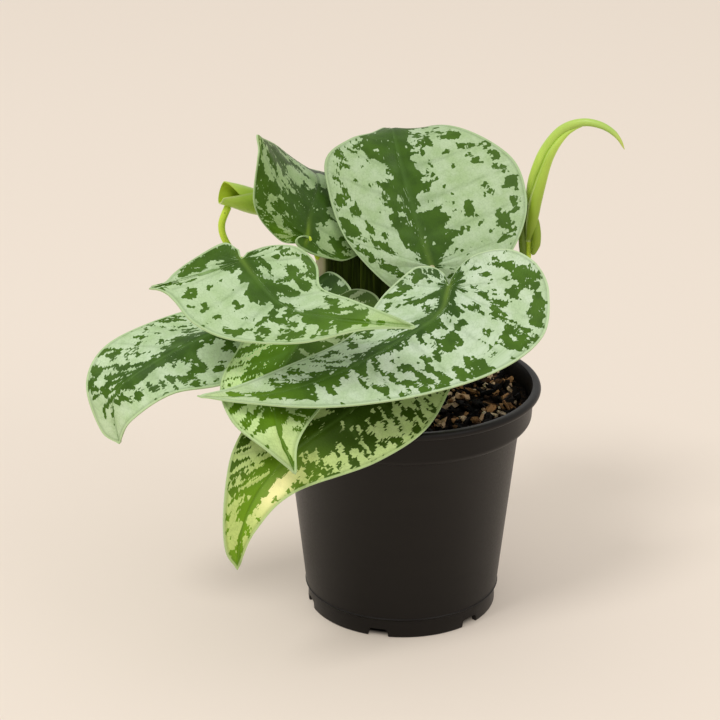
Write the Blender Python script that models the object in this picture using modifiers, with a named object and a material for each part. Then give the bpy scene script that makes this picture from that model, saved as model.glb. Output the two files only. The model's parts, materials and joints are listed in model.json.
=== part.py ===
# Potted satin pothos: a bushy climber with heart-shaped leaves in a round plastic nursery pot.
# Metres, +Z up. Every place below is measured from the pot's axis at the level it stands on;
# the empty "pot_axis" then puts that axis where the whole plant is centred on the origin.

import math
import random

import bmesh
import bpy
import numpy as np
from mathutils import Euler, Vector, noise

POT_AXIS = (0.0179, 0.0037, 0.0)
GAP = 0.0003

# Pot
RIM_TOP = 0.094
RIM_R = 0.0545
LIP_WIDTH = 0.0035
LIP_HEIGHT = 0.003
BAND_R = 0.0512
BAND_FOOT = 0.0791
BAND_CORNER = 0.003
BODY_TOP_R = 0.0465
BODY_FOOT_R = 0.0388
STEP_Z = 0.0078
FOOT_R = 0.0380
WALL = 0.0012
FLOOR_Z = 0.0042
FOOT_RING = 0.0022
POT_SIDES = 48

# Notches under the foot and drain holes in the raised floor
NOTCHES = 6
NOTCH_FIRST = math.radians(15)
NOTCH_WIDTH = 0.0095
NOTCH_TOP_WIDTH = 0.0072
NOTCH_HEIGHT = 0.0034
DRAIN_R = 0.0035
DRAIN_RING_R = 0.025
HOLE_SIDES = 12

# Soil
SOIL_TOP = 0.0865
SOIL_RINGS = 6
SOIL_BUMP = 0.0014
BUMPS_PER_METRE = (90, 210)
CHIPS = 84
CHIP_RING_R = 0.0425
CHIP_LENGTHS = (0.0040, 0.0085)
CHIP_WIDTHS = (0.0022, 0.0042)
CHIP_HEIGHTS = (0.0012, 0.0024)
CHIP_TO_STEM = 0.0085
CHIP_TILT = 0.45
CHIP_UNEVEN = (0.75, 1.15)
CHIP_RISE = 0.15
SEED = 11

# Stems and leaf stalks
STEM_R = 0.0022
STALK_R = (0.0019, 0.0013)
ROOT_Z = 0.076
STALK_STEPS = 9

# Leaf blades
BLADE = 0.0007
BLADE_SEAT = 0.0005
ALONG = 18
ACROSS = 3
FAN = 0.34
VEIN_RUN = 1.1

# Each blade is spanned between three rails, its midrib and its two margins, that run to one tip.
# "bulge" is how far each half swells towards its upper face, as a share of its width,
# near the stalk and near the tip.
LEAVES = {
    "leaf_upper": {
        "midrib": [
            (0.011, 0.008, 0.139), (0.006, 0.019, 0.152), (0.001, 0.031, 0.167),
            (-0.003, 0.045, 0.180), (-0.004, 0.060, 0.181), (-0.003, 0.076, 0.169),
        ],
        "left": [
            (0.008, 0.007, 0.132), (0.000, 0.006, 0.128), (-0.012, 0.008, 0.137), (-0.023, 0.012, 0.150),
            (-0.029, 0.022, 0.164), (-0.030, 0.033, 0.175), (-0.021, 0.048, 0.1785), (-0.003, 0.076, 0.169),
        ],
        "right": [
            (0.014, 0.007, 0.132), (0.025, 0.006, 0.130), (0.038, 0.010, 0.138), (0.046, 0.017, 0.149),
            (0.049, 0.026, 0.161), (0.044, 0.038, 0.174), (0.0275, 0.052, 0.1815), (0.012, 0.064, 0.1805),
            (-0.003, 0.076, 0.169),
        ],
        "bulge": ((0.02, 0.06), (0.02, 0.06)),
    },
    "leaf_front": {
        "midrib": [
            (0.017, -0.014, 0.139), (0.013, -0.027, 0.133), (-0.001, -0.041, 0.128),
            (-0.025, -0.056, 0.120), (-0.050, -0.064, 0.115), (-0.076, -0.066, 0.115),
        ],
        "left": [
            (0.021, -0.006, 0.146), (0.031, -0.002, 0.150), (0.045, -0.004, 0.148), (0.055, -0.012, 0.136),
            (0.052, -0.028, 0.123), (0.033, -0.046, 0.116), (0.003, -0.060, 0.112), (-0.030, -0.070, 0.112),
            (-0.060, -0.070, 0.114), (-0.076, -0.066, 0.115),
        ],
        "right": [
            (0.014, -0.004, 0.143), (0.004, -0.004, 0.140), (-0.007, -0.008, 0.134),
            (-0.014, -0.020, 0.129), (-0.023, -0.036, 0.125), (-0.044, -0.052, 0.121),
            (-0.063, -0.060, 0.116), (-0.076, -0.066, 0.115),
        ],
        "bulge": ((0.05, 0.05), (0.05, 0.05)),
    },
    "leaf_left": {
        "midrib": [
            (-0.061, -0.030, 0.155), (-0.056, -0.037, 0.151), (-0.046, -0.048, 0.144),
            (-0.030, -0.057, 0.142), (0.003, -0.062, 0.140),
        ],
        "left": [
            (-0.059, -0.028, 0.157), (-0.050, -0.026, 0.159), (-0.040, -0.028, 0.159),
            (-0.033, -0.033, 0.154), (-0.031, -0.042, 0.148), (-0.020, -0.052, 0.147),
            (-0.006, -0.060, 0.144), (0.003, -0.062, 0.140),
        ],
        "right": [
            (-0.062, -0.028, 0.158), (-0.068, -0.026, 0.160), (-0.079, -0.030, 0.155),
            (-0.095, -0.040, 0.147), (-0.086, -0.046, 0.145), (-0.077, -0.056, 0.139),
            (-0.063, -0.064, 0.136), (-0.039, -0.070, 0.137), (-0.016, -0.067, 0.141),
            (0.003, -0.062, 0.140),
        ],
        "bulge": ((0.05, 0.05), (0.05, 0.05)),
    },
    "leaf_back": {
        "midrib": [
            (-0.037, 0.002, 0.153), (-0.036, 0.012, 0.159), (-0.033, 0.025, 0.165),
            (-0.034, 0.038, 0.168), (-0.041, 0.062, 0.164),
        ],
        "left": [
            (-0.039, 0.001, 0.151), (-0.043, 0.000, 0.150), (-0.051, -0.003, 0.156),
            (-0.055, -0.006, 0.168), (-0.056, -0.005, 0.180), (-0.056, -0.003, 0.195),
            (-0.049, 0.028, 0.182), (-0.041, 0.062, 0.164),
        ],
        "right": [
            (-0.036, 0.002, 0.151), (-0.035, -0.002, 0.148), (-0.028, 0.004, 0.144), (-0.019, 0.014, 0.140),
            (-0.011, 0.024, 0.145), (-0.013, 0.036, 0.155), (-0.023, 0.046, 0.163), (-0.041, 0.062, 0.164),
        ],
        "bulge": ((0.05, 0.03), (0.05, 0.03)),
    },
    "leaf_far_left": {
        "midrib": [
            (-0.044, -0.002, 0.129), (-0.059, -0.012, 0.125), (-0.076, -0.020, 0.121),
            (-0.097, -0.028, 0.112), (-0.111, -0.030, 0.100), (-0.110, -0.028, 0.079),
        ],
        "left": [
            (-0.038, 0.004, 0.130), (-0.029, 0.008, 0.137), (-0.020, 0.002, 0.131),
            (-0.021, -0.012, 0.122), (-0.036, -0.024, 0.112), (-0.069, -0.036, 0.107),
            (-0.088, -0.038, 0.104), (-0.104, -0.036, 0.092), (-0.110, -0.028, 0.079),
        ],
        "right": [
            (-0.040, 0.006, 0.131), (-0.041, 0.012, 0.132), (-0.052, 0.014, 0.129),
            (-0.072, 0.008, 0.125), (-0.099, -0.004, 0.120), (-0.116, -0.016, 0.114),
            (-0.122, -0.024, 0.102), (-0.117, -0.026, 0.084), (-0.110, -0.028, 0.079),
        ],
        "bulge": ((0.05, 0.05), (0.05, 0.05)),
    },
    "leaf_pointing_down": {
        "midrib": [
            (-0.031, -0.016, 0.129), (-0.041, -0.034, 0.122), (-0.048, -0.054, 0.114),
            (-0.047, -0.070, 0.105), (-0.040, -0.080, 0.090),
        ],
        "left": [
            (-0.029, -0.008, 0.130), (-0.019, -0.004, 0.134), (-0.010, -0.008, 0.132),
            (-0.009, -0.020, 0.125), (-0.019, -0.042, 0.115), (-0.031, -0.060, 0.108),
            (-0.039, -0.073, 0.100), (-0.040, -0.080, 0.090),
        ],
        "right": [
            (-0.033, -0.010, 0.130), (-0.044, -0.008, 0.131), (-0.057, -0.020, 0.128),
            (-0.062, -0.036, 0.123), (-0.068, -0.058, 0.116), (-0.063, -0.072, 0.107),
            (-0.050, -0.080, 0.099), (-0.040, -0.080, 0.090),
        ],
        "bulge": ((0.05, 0.05), (0.05, 0.05)),
    },
    "leaf_over_rim": {
        "midrib": [
            (-0.002, -0.030, 0.110), (-0.021, -0.050, 0.102), (-0.039, -0.065, 0.094),
            (-0.053, -0.075, 0.082), (-0.060, -0.080, 0.067), (-0.062, -0.078, 0.050),
        ],
        "left": [
            (0.002, -0.024, 0.111), (0.014, -0.020, 0.115), (0.019, -0.026, 0.110),
            (0.017, -0.034, 0.104), (0.007, -0.054, 0.096), (-0.012, -0.066, 0.088),
            (-0.041, -0.075, 0.080), (-0.055, -0.080, 0.067), (-0.062, -0.078, 0.050),
        ],
        "right": [
            (-0.003, -0.026, 0.112), (-0.017, -0.024, 0.114), (-0.036, -0.038, 0.112),
            (-0.054, -0.058, 0.106), (-0.063, -0.072, 0.096), (-0.066, -0.082, 0.080),
            (-0.066, -0.083, 0.061), (-0.062, -0.078, 0.050),
        ],
        "bulge": ((0.05, 0.05), (0.05, 0.05)),
    },
}

# Two young leaves are still rolled up round their midribs. "route" is the middle of the roll from
# its base to its tip, "radii" its radius along the way, and "seam" the way that its outer
# margin faces. Lobes of the heart-shaped base hang down past the stalk.
ROLLED = {
    "rolled_leaf_right": {
        "route": [
            (0.050, 0.031, 0.139), (0.051, 0.032, 0.148), (0.0525, 0.033, 0.158), (0.0535, 0.033, 0.168),
            (0.0575, 0.031, 0.1795), (0.065, 0.028, 0.189), (0.075, 0.025, 0.1925), (0.0825, 0.021, 0.1885),
            (0.086, 0.019, 0.183),
        ],
        "radii": (0.0024, 0.0032, 0.0039, 0.0039, 0.0037, 0.0028, 0.0016, 0.0012, 0.0003),
        "seam": (0.4, -1.0, 0.0),
        "lobes": {
            "left": ((0.0495, 0.031, 0.153), (0.0482, 0.0303, 0.1435), (0.0476, 0.0299, 0.1385)),
            "right": ((0.0528, 0.031, 0.154), (0.0538, 0.030, 0.146), (0.0524, 0.0288, 0.1365)),
        },
    },
    "rolled_leaf_left": {
        "route": [
            (-0.070, 0.014, 0.1672), (-0.0645, 0.0155, 0.165), (-0.058, 0.020, 0.162),
            (-0.051, 0.027, 0.159), (-0.043, 0.037, 0.157),
        ],
        "radii": (0.0046, 0.0051, 0.0052, 0.0038, 0.0004),
        "seam": (0.0, -0.6, 1.0),
        "lobes": {},
    },
}
ROLL_SIDES = 12
ROLL_STEPS = 16
ROLL_STEP = 0.24
ROLL_SEAM = 0.30
LOBE_RADII = (0.0012, 0.0018, 0.0005)

# Each vine stem rises straight out of the soil. Its stalks run from the stem to the joint
# of the leaf they carry; the one with no leaf carries a leaf that is still rolled up.
VINES = {
    "vine_right": {
        "stem": [(0.020, 0.012, ROOT_Z), (0.020, 0.012, 0.090), (0.022, 0.014, 0.102), (0.026, 0.016, 0.110)],
        "stalks": {
            "leaf_upper": [(0.020, 0.012, 0.094), (0.016, 0.015, 0.110), (0.012, 0.015, 0.126)],
            "leaf_front": [(0.020, 0.012, 0.092), (0.019, 0.006, 0.106), (0.018, -0.002, 0.122)],
            "rolled_leaf_right": [
                (0.025, 0.016, 0.108), (0.033, 0.021, 0.116), (0.042, 0.027, 0.124), (0.048, 0.030, 0.131),
                (0.050, 0.031, 0.1386),
            ],
        },
    },
    "vine_left": {
        "stem": [
            (-0.024, 0.017, ROOT_Z), (-0.024, 0.017, 0.090), (-0.025, 0.017, 0.104), (-0.027, 0.016, 0.113),
        ],
        "stalks": {
            "leaf_back": [(-0.026, 0.016, 0.108), (-0.028, 0.014, 0.124), (-0.031, 0.012, 0.140)],
            "leaf_left": [
                (-0.025, 0.017, 0.102), (-0.034, 0.019, 0.120), (-0.044, 0.015, 0.134),
                (-0.052, 0.004, 0.142), (-0.058, -0.010, 0.147), (-0.061, -0.023, 0.151),
            ],
            "rolled_leaf_left": [
                (-0.024, 0.017, 0.092), (-0.034, 0.025, 0.104), (-0.050, 0.028, 0.120),
                (-0.062, 0.022, 0.134), (-0.069, 0.015, 0.146), (-0.071, 0.014, 0.154),
                (-0.068, 0.014, 0.1610),
            ],
        },
    },
    "vine_front": {
        "stem": [
            (-0.006, -0.006, ROOT_Z), (-0.006, -0.006, 0.090), (-0.007, -0.006, 0.098),
            (-0.009, -0.006, 0.106),
        ],
        "stalks": {
            "leaf_pointing_down": [(-0.009, -0.006, 0.104), (-0.012, -0.012, 0.114), (-0.018, -0.017, 0.121)],
            "leaf_far_left": [(-0.007, -0.004, 0.096), (-0.018, 0.003, 0.106), (-0.030, 0.004, 0.118)],
            "leaf_over_rim": [(-0.006, -0.007, 0.093), (-0.001, -0.016, 0.098), (0.001, -0.024, 0.104)],
        },
    },
}


def clear_scene():
    for obj in list(bpy.data.objects):
        bpy.data.objects.remove(obj, do_unlink=True)


def new_collection(name, hidden=False):
    collection = bpy.data.collections.new(name)
    bpy.context.scene.collection.children.link(collection)
    collection.hide_render = hidden
    return collection


def principled(name, colour, roughness):
    material = bpy.data.materials.new(name)
    material.use_nodes = True
    shader = material.node_tree.nodes["Principled BSDF"]
    shader.inputs["Base Color"].default_value = (*colour, 1.0)
    shader.inputs["Roughness"].default_value = roughness
    shader.inputs["Metallic"].default_value = 0.0
    return material


def new_object(name, mesh, collection, parent=None, material=None):
    obj = bpy.data.objects.new(name, mesh)
    collection.objects.link(obj)
    obj.parent = parent
    if material:
        mesh.materials.clear()
        mesh.materials.append(material)
    return obj


def mesh_from(name, bm):
    mesh = bpy.data.meshes.new(name)
    bm.to_mesh(mesh)
    bm.free()
    return mesh


def applied(obj):
    """The object's mesh with its modifiers worked in."""
    bpy.context.view_layer.update()
    graph = bpy.context.evaluated_depsgraph_get()
    return bpy.data.meshes.new_from_object(obj.evaluated_get(graph))


def welded(mesh):
    bm = bmesh.new()
    bm.from_mesh(mesh)
    bmesh.ops.remove_doubles(bm, verts=bm.verts, dist=1e-6)
    bm.to_mesh(mesh)
    bm.free()
    return mesh


def shade(mesh, degrees=35):
    mesh.shade_smooth()
    mesh.set_sharp_from_angle(angle=math.radians(degrees))


def joined(name, pieces, collection, solver="EXACT"):
    """One mesh from pieces that run into each other. The pieces are removed."""
    first, rest = pieces[0], pieces[1:]
    group = bpy.data.collections.new(name + "_pieces")
    collection.children.link(group)
    for piece in rest:
        group.objects.link(piece)
        collection.objects.unlink(piece)
    if rest:
        union = first.modifiers.new("union", "BOOLEAN")
        union.operation = "UNION"
        union.operand_type = "COLLECTION"
        union.collection = group
        union.solver = solver
    mesh = applied(first)
    for piece in pieces:
        bpy.data.objects.remove(piece, do_unlink=True)
    bpy.data.collections.remove(group)
    return mesh


def shell_of(start, unseen):
    """The faces that hang together with this one, across edges where just two faces meet."""
    shell = {start}
    front = [start]
    while front:
        face = front.pop()
        pairs = [edge.link_faces for edge in face.edges if len(edge.link_faces) == 2]
        beside = {other for pair in pairs for other in pair} & unseen
        unseen -= beside
        shell |= beside
        front.extend(beside)
    return shell


def outer_skin(mesh):
    """Keeps the largest shell, so that hollows sealed under the chips are filled."""
    bm = bmesh.new()
    bm.from_mesh(mesh)
    unseen = set(bm.faces)
    shells = []
    while unseen:
        shells.append(shell_of(unseen.pop(), unseen))
    largest = max(shells, key=len)
    inner = [face for face in bm.faces if face not in largest]
    bmesh.ops.delete(bm, geom=inner, context="FACES")
    bm.to_mesh(mesh)
    bm.free()
    return mesh


def turned(name, profile, sides, collection):
    """A profile of (radius, height) points swept round the Z axis."""
    mesh = bpy.data.meshes.new(name)
    points = [(r, 0.0, z) for r, z in profile]
    edges = [(i, i + 1) for i in range(len(points) - 1)]
    mesh.from_pydata(points, edges, [])
    obj = new_object(name, mesh, collection)
    screw = obj.modifiers.new("turn", "SCREW")
    screw.steps = sides
    screw.render_steps = sides
    screw.use_merge_vertices = True
    screw.merge_threshold = 0.00001
    return obj


def rail(points, steps=24):
    """A smooth curve through the points: its places, and the share of its length at each."""
    p = np.array(points, float)
    p = np.vstack([2 * p[0] - p[1], p, 2 * p[-1] - p[-2]])
    u = np.linspace(0, 1, steps, endpoint=False)[:, None]
    runs = []
    for a, b, c, d in zip(p, p[1:], p[2:], p[3:]):
        bend = 2 * a - 5 * b + 4 * c - d + u * (3 * (b - c) + d - a)
        runs.append(b + 0.5 * u * (c - a + u * bend))
    curve = np.vstack(runs + [p[-2:-1]])
    reach = np.cumsum(np.linalg.norm(np.diff(curve, axis=0), axis=1))
    reach = np.concatenate([[0.0], reach])
    return curve, reach / reach[-1]


def on_rail(points, share):
    curve, reach = rail(points)
    return np.stack([np.interp(share, reach, curve[:, k]) for k in range(3)], -1)


def unit(vectors):
    return vectors / np.maximum(np.linalg.norm(vectors, axis=-1, keepdims=True), 1e-9)


def half_blade(leaf, side, round_margin, out):
    """Places on one half: a share round its margin, and a share out along the vein that ends there.

    The veins near the stalk all fan out from the joint; the others leave the midrib one by one.
    """
    root_share = np.clip((round_margin - FAN) / (1 - FAN), 0, 1) ** VEIN_RUN
    root = on_rail(leaf["midrib"], root_share)
    ahead = on_rail(leaf["midrib"], np.minimum(root_share + 0.03, 1))
    behind = on_rail(leaf["midrib"], np.maximum(root_share - 0.03, 0))
    vein = on_rail(leaf[side], round_margin) - root
    sign = 1 if side == "right" else -1
    face = unit(np.cross(unit(ahead - behind), unit(vein))) * sign
    near, far = leaf["bulge"][(sign + 1) // 2]
    bulge = (near + (far - near) * round_margin) * np.sin(np.pi * round_margin) ** 0.3
    lift = np.linalg.norm(vein, axis=-1) * bulge * 4 * out * (1 - out)
    return root + vein * out[..., None] + face * lift[..., None]


def joint_of(leaf):
    """The joint, and the way the upper face looks there."""
    here = np.array([0.5, 0.5])
    out = np.array([0.0, 0.15])
    left = half_blade(leaf, "left", here * 0.5, out)
    right = half_blade(leaf, "right", here * 0.5, out)
    ahead = on_rail(leaf["midrib"], np.array([0.0, 0.06]))
    across = unit(right[1] - left[1])
    way = unit(ahead[1] - ahead[0])
    return Vector(ahead[0]), Vector(unit(np.cross(across, way)))


def blade_object(name, leaf, collection, parent, material):
    """A flat grid, laid on the blade's surface and given its thickness on the lower side."""
    bm = bmesh.new()
    bmesh.ops.create_grid(bm, x_segments=2 * ACROSS, y_segments=ALONG, size=1.0)
    flat = np.array([v.co for v in bm.verts])
    round_margin = np.clip((flat[:, 1] + 1) / 2, 0, 1)
    left = half_blade(leaf, "left", round_margin, np.clip(-flat[:, 0], 0, 1))
    right = half_blade(leaf, "right", round_margin, np.clip(flat[:, 0], 0, 1))
    laid = np.where(flat[:, :1] < 0, left, right)
    for vertex, place in zip(bm.verts, laid):
        vertex.co = place
    bmesh.ops.remove_doubles(bm, verts=bm.verts, dist=0.00002)
    bmesh.ops.triangulate(bm, faces=bm.faces)
    mesh = mesh_from(name, bm)
    mesh.shade_smooth()
    obj = new_object(name, mesh, collection, parent, material)
    solid = obj.modifiers.new("thickness", "SOLIDIFY")
    solid.thickness = BLADE
    solid.offset = -1.0
    return obj


def tube(name, route, radii, collection, steps=STALK_STEPS):
    """A round stalk along a smooth route, its radius running from the first value to the last."""
    curve = bpy.data.curves.new(name, "CURVE")
    curve.dimensions = "3D"
    curve.bevel_depth = 1.0
    curve.bevel_resolution = 2
    curve.use_fill_caps = True
    places = on_rail(route, np.linspace(0, 1, steps))
    spline = curve.splines.new("POLY")
    spline.points.add(steps - 1)
    for k, (point, place) in enumerate(zip(spline.points, places)):
        point.co = (*place, 1.0)
        point.radius = np.interp(k / (steps - 1), np.linspace(0, 1, len(radii)), radii)
    guide = new_object(name + "_route", curve, collection)
    mesh = welded(applied(guide))
    bpy.data.objects.remove(guide, do_unlink=True)
    return new_object(name, mesh, collection)


def rolled_object(name, rolled, collection, parent, material):
    """A grid wrapped round the route. One edge overlaps the other, so a step runs down the roll."""
    bm = bmesh.new()
    bmesh.ops.create_grid(bm, x_segments=ROLL_SIDES, y_segments=ROLL_STEPS, size=1.0)
    flat = np.array([v.co for v in bm.verts])
    side = np.rint((flat[:, 0] + 1) / 2 * ROLL_SIDES)
    row = np.rint((flat[:, 1] + 1) / 2 * ROLL_STEPS)
    share = np.clip((row - 1) / (ROLL_STEPS - 1), 0, 1)
    places = on_rail(rolled["route"], share)
    ahead = on_rail(rolled["route"], np.minimum(share + 0.02, 1))
    behind = on_rail(rolled["route"], np.maximum(share - 0.02, 0))
    way = unit(ahead - behind)
    seam = np.array(rolled["seam"])
    seam = unit(seam - way * (way @ seam)[:, None])
    beside = np.cross(way, seam)
    last = side == ROLL_SIDES
    turn = np.where(last, 0.0, side / (ROLL_SIDES - 1) * (2 * np.pi - ROLL_SEAM))
    inward = np.where(last, 0.0, side / (ROLL_SIDES - 1) * ROLL_STEP)
    knots = np.linspace(0, 1, len(rolled["radii"]))
    radius = np.interp(share, knots, rolled["radii"]) * (1 + ROLL_STEP / 2 - inward)
    radius[row == 0] = 0.0
    radius[row == ROLL_STEPS] = 0.0
    around = seam * np.cos(turn)[:, None] + beside * np.sin(turn)[:, None]
    for vertex, place in zip(bm.verts, places + around * radius[:, None]):
        vertex.co = place
    bmesh.ops.remove_doubles(bm, verts=bm.verts, dist=0.00001)
    bmesh.ops.recalc_face_normals(bm, faces=bm.faces)
    pieces = [new_object(name + "_roll", mesh_from(name, bm), collection)]
    for lobe, route in rolled["lobes"].items():
        pieces.append(tube(f"{name}_{lobe}_lobe", route, LOBE_RADII, collection))
    mesh = joined(name, pieces, collection)
    shade(mesh, 50)
    return new_object(name, mesh, collection, parent, material)


def seat_under(leaf, last):
    """Where a stalk that comes from the point "last" ends, just clear of the blade's lower side."""
    joint, face = joint_of(leaf)
    way = (joint - Vector(last)).normalized()
    slant = way.cross(face).length
    return tuple(joint - face * (BLADE + BLADE_SEAT + STALK_R[1] * slant))


def vine_object(name, vine, collection, parent, material):
    pieces = [tube(name + "_stem", vine["stem"], (STEM_R, STEM_R), collection)]
    for leaf_name, route in vine["stalks"].items():
        whole = list(route)
        if leaf_name in LEAVES:
            whole.append(seat_under(LEAVES[leaf_name], route[-1]))
        pieces.append(tube(leaf_name + "_stalk", whole, STALK_R, collection))
    mesh = joined(name, pieces, collection)
    shade(mesh)
    return new_object(name, mesh, collection, parent, material)


def pot_inside():
    """The inner side of the pot as (radius, height), from the middle of its floor to the rim."""
    floor = FLOOR_Z + WALL
    return [
        (0.0, floor),
        (FOOT_R - WALL, floor),
        (BODY_FOOT_R - WALL, STEP_Z + WALL),
        (BODY_TOP_R - WALL, BAND_FOOT - WALL / 2),
        (BAND_R - BAND_CORNER, BAND_FOOT + WALL),
        (BAND_R - WALL, BAND_FOOT + BAND_CORNER),
        (RIM_R - LIP_WIDTH - WALL / 2, RIM_TOP - LIP_HEIGHT),
        (RIM_R - LIP_WIDTH, RIM_TOP - LIP_HEIGHT / 3),
    ]


def arc(centre, radius, first, last, steps):
    """Points round a quarter or half turn in the profile's plane, angles in degrees."""
    angles = [math.radians(first + (last - first) * k / steps) for k in range(steps + 1)]
    return [(centre[0] + radius * math.cos(a), centre[1] + radius * math.sin(a)) for a in angles]


def pot_outside():
    """The rolled lip, the shoulder band, the tapered body and the foot, from top to bottom."""
    lip = LIP_HEIGHT / 2
    middle = (RIM_R - lip, RIM_TOP - lip)
    corner = (BAND_R - BAND_CORNER, BAND_FOOT + BAND_CORNER)
    return [
        (RIM_R - LIP_WIDTH + WALL / 2, RIM_TOP),
        *arc(middle, lip, 90, -60, 4),
        (BAND_R + WALL / 2, RIM_TOP - LIP_HEIGHT),
        (BAND_R + WALL / 3, RIM_TOP - LIP_HEIGHT - WALL),
        *arc(corner, BAND_CORNER, 0, -75, 3),
        (BODY_TOP_R, BAND_FOOT),
        (BODY_FOOT_R, STEP_Z),
        (FOOT_R, STEP_Z - WALL / 2),
        (FOOT_R, WALL / 2),
        (FOOT_R - WALL / 2, 0.0),
        (FOOT_R - FOOT_RING, 0.0),
        (FOOT_R - FOOT_RING - WALL / 2, FLOOR_Z),
        (0.0, FLOOR_Z),
    ]


def notch_cutter(k, collection, parent):
    """A block with sloping sides and rounded top edges, laid across the foot ring."""
    bm = bmesh.new()
    bmesh.ops.create_cube(bm, size=1.0)
    depth = 4 * FOOT_RING
    for vertex in bm.verts:
        width = NOTCH_TOP_WIDTH if vertex.co.z > 0 else NOTCH_WIDTH
        vertex.co = (vertex.co.x * depth, vertex.co.y * width, vertex.co.z * 2 * NOTCH_HEIGHT)
    across = [e for e in bm.edges if abs(e.verts[0].co.x - e.verts[1].co.x) > WALL]
    top = [e for e in across if e.verts[0].co.z > 0]
    bmesh.ops.bevel(bm, geom=top, offset=WALL, segments=2, affect="EDGES", profile=0.5)
    obj = new_object(f"notch_{k}", mesh_from("notch", bm), collection, parent)
    angle = NOTCH_FIRST + k * 2 * math.pi / NOTCHES
    obj.location = (FOOT_R * math.cos(angle), FOOT_R * math.sin(angle), 0.0)
    obj.rotation_euler = (0.0, 0.0, angle)
    return obj


def hole_cutter(name, radius, bottom, top, collection, parent=None):
    bm = bmesh.new()
    bmesh.ops.create_cone(
        bm, cap_ends=True, segments=HOLE_SIDES, radius1=radius, radius2=radius, depth=top - bottom
    )
    bmesh.ops.translate(bm, verts=bm.verts, vec=(0, 0, (top + bottom) / 2))
    return new_object(name, mesh_from(name, bm), collection, parent)


def cut_with(obj, cutters, solver="EXACT"):
    """Takes the collection's shapes out of the object. They are drawn as wires only."""
    for cutter in cutters.objects:
        cutter.display_type = "WIRE"
        cutter.hide_render = True
    cut = obj.modifiers.new("cuts", "BOOLEAN")
    cut.operation = "DIFFERENCE"
    cut.operand_type = "COLLECTION"
    cut.collection = cutters
    cut.solver = solver


def build_pot(collection, cutters, parent, material):
    foot_cutters = bpy.data.collections.new("pot_cutters")
    cutters.children.link(foot_cutters)
    for k in range(NOTCHES):
        notch_cutter(k, foot_cutters, parent)
        angle = NOTCH_FIRST + (k + 0.5) * 2 * math.pi / NOTCHES
        hole = hole_cutter(f"drain_{k}", DRAIN_R, FLOOR_Z / 2, 3 * FLOOR_Z, foot_cutters, parent)
        hole.location = (DRAIN_RING_R * math.cos(angle), DRAIN_RING_R * math.sin(angle), 0.0)
    pot = turned("pot", pot_inside() + pot_outside(), POT_SIDES, collection)
    pot.parent = parent
    pot.data.materials.append(material)
    shade(pot.data, 40)
    cut_with(pot, foot_cutters)
    return pot


def soil_profile():
    """The root ball: its top in rings, then down the pot's wall a hair clear of it."""
    wall = [(r - GAP, z + GAP) for r, z in pot_inside()]
    side = [(r, z) for r, z in wall if r > 0 and z < SOIL_TOP]
    edge = side[-1][0]
    rings = [(edge * k / SOIL_RINGS, SOIL_TOP) for k in range(SOIL_RINGS + 1)]
    return rings + side[::-1] + [(0.0, side[0][1])]


def soil_height(x, y):
    """The lie of the soil's top: low bumps that die out at the pot's wall."""
    bumps = sum(noise.noise(Vector((x, y, 1 / pitch)) * pitch) for pitch in BUMPS_PER_METRE)
    fade = max(0.0, 1 - (math.hypot(x, y) / BODY_TOP_R) ** 4)
    return SOIL_TOP + SOIL_BUMP * bumps * fade


def chip(k, draw, collection):
    """A splinter of bark, half sunk in the soil, or None where a stem stands too near."""
    radius = CHIP_RING_R * math.sqrt(draw.random())
    angle = draw.uniform(0, 2 * math.pi)
    x, y = radius * math.cos(angle), radius * math.sin(angle)
    size = [draw.uniform(*span) for span in (CHIP_LENGTHS, CHIP_WIDTHS, CHIP_HEIGHTS)]
    leans = [draw.uniform(-CHIP_TILT, CHIP_TILT) for _ in range(2)]
    tilt = Euler((*leans, draw.uniform(0, math.pi)))
    stems = [vine["stem"][0] for vine in VINES.values()]
    if min(math.hypot(x - sx, y - sy) for sx, sy, _ in stems) < CHIP_TO_STEM:
        return None
    bm = bmesh.new()
    bmesh.ops.create_cube(bm, size=1.0)
    bmesh.ops.scale(bm, verts=bm.verts, vec=size)
    for vertex in bm.verts:
        vertex.co *= draw.uniform(*CHIP_UNEVEN)
    bmesh.ops.triangulate(bm, faces=bm.faces)
    bmesh.ops.rotate(bm, verts=bm.verts, cent=(0, 0, 0), matrix=tilt.to_matrix())
    bmesh.ops.translate(bm, verts=bm.verts, vec=(x, y, soil_height(x, y) + size[2] * CHIP_RISE))
    return new_object(f"chip_{k}", mesh_from("chip", bm), collection)


def build_soil(collection, cutters, parent, material):
    draw = random.Random(SEED)
    plug = turned("soil_plug", soil_profile(), POT_SIDES, collection)
    bm = bmesh.new()
    bm.from_mesh(applied(plug))
    bpy.data.objects.remove(plug, do_unlink=True)
    for vertex in bm.verts:
        if vertex.co.z > SOIL_TOP - GAP:
            vertex.co.z = soil_height(vertex.co.x, vertex.co.y)
    bmesh.ops.triangulate(bm, faces=bm.faces)
    pieces = [new_object("soil_base", mesh_from("soil_base", bm), collection)]
    for k in range(CHIPS):
        piece = chip(k, draw, collection)
        if piece:
            pieces.append(piece)
    whole = new_object("soil_whole", joined("soil", pieces, collection, "MANIFOLD"), collection)
    stem_holes = bpy.data.collections.new("stem_holes")
    cutters.children.link(stem_holes)
    for name, vine in VINES.items():
        x, y, _ = vine["stem"][0]
        hole = hole_cutter(name + "_hole", STEM_R + 2 * GAP, ROOT_Z - GAP, RIM_TOP, stem_holes)
        hole.location = (x, y, 0.0)
    cut_with(whole, stem_holes, "MANIFOLD")
    skin = outer_skin(applied(whole))
    bpy.data.objects.remove(whole, do_unlink=True)
    shade(skin)
    return new_object("soil", skin, collection, parent, material)


def build_vines(collection, parent, material):
    for name, vine in VINES.items():
        vine_object(name, vine, collection, parent, material)


def build_leaves(collection, parent, material):
    for name, leaf in LEAVES.items():
        blade_object(name, leaf, collection, parent, material)


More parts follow.
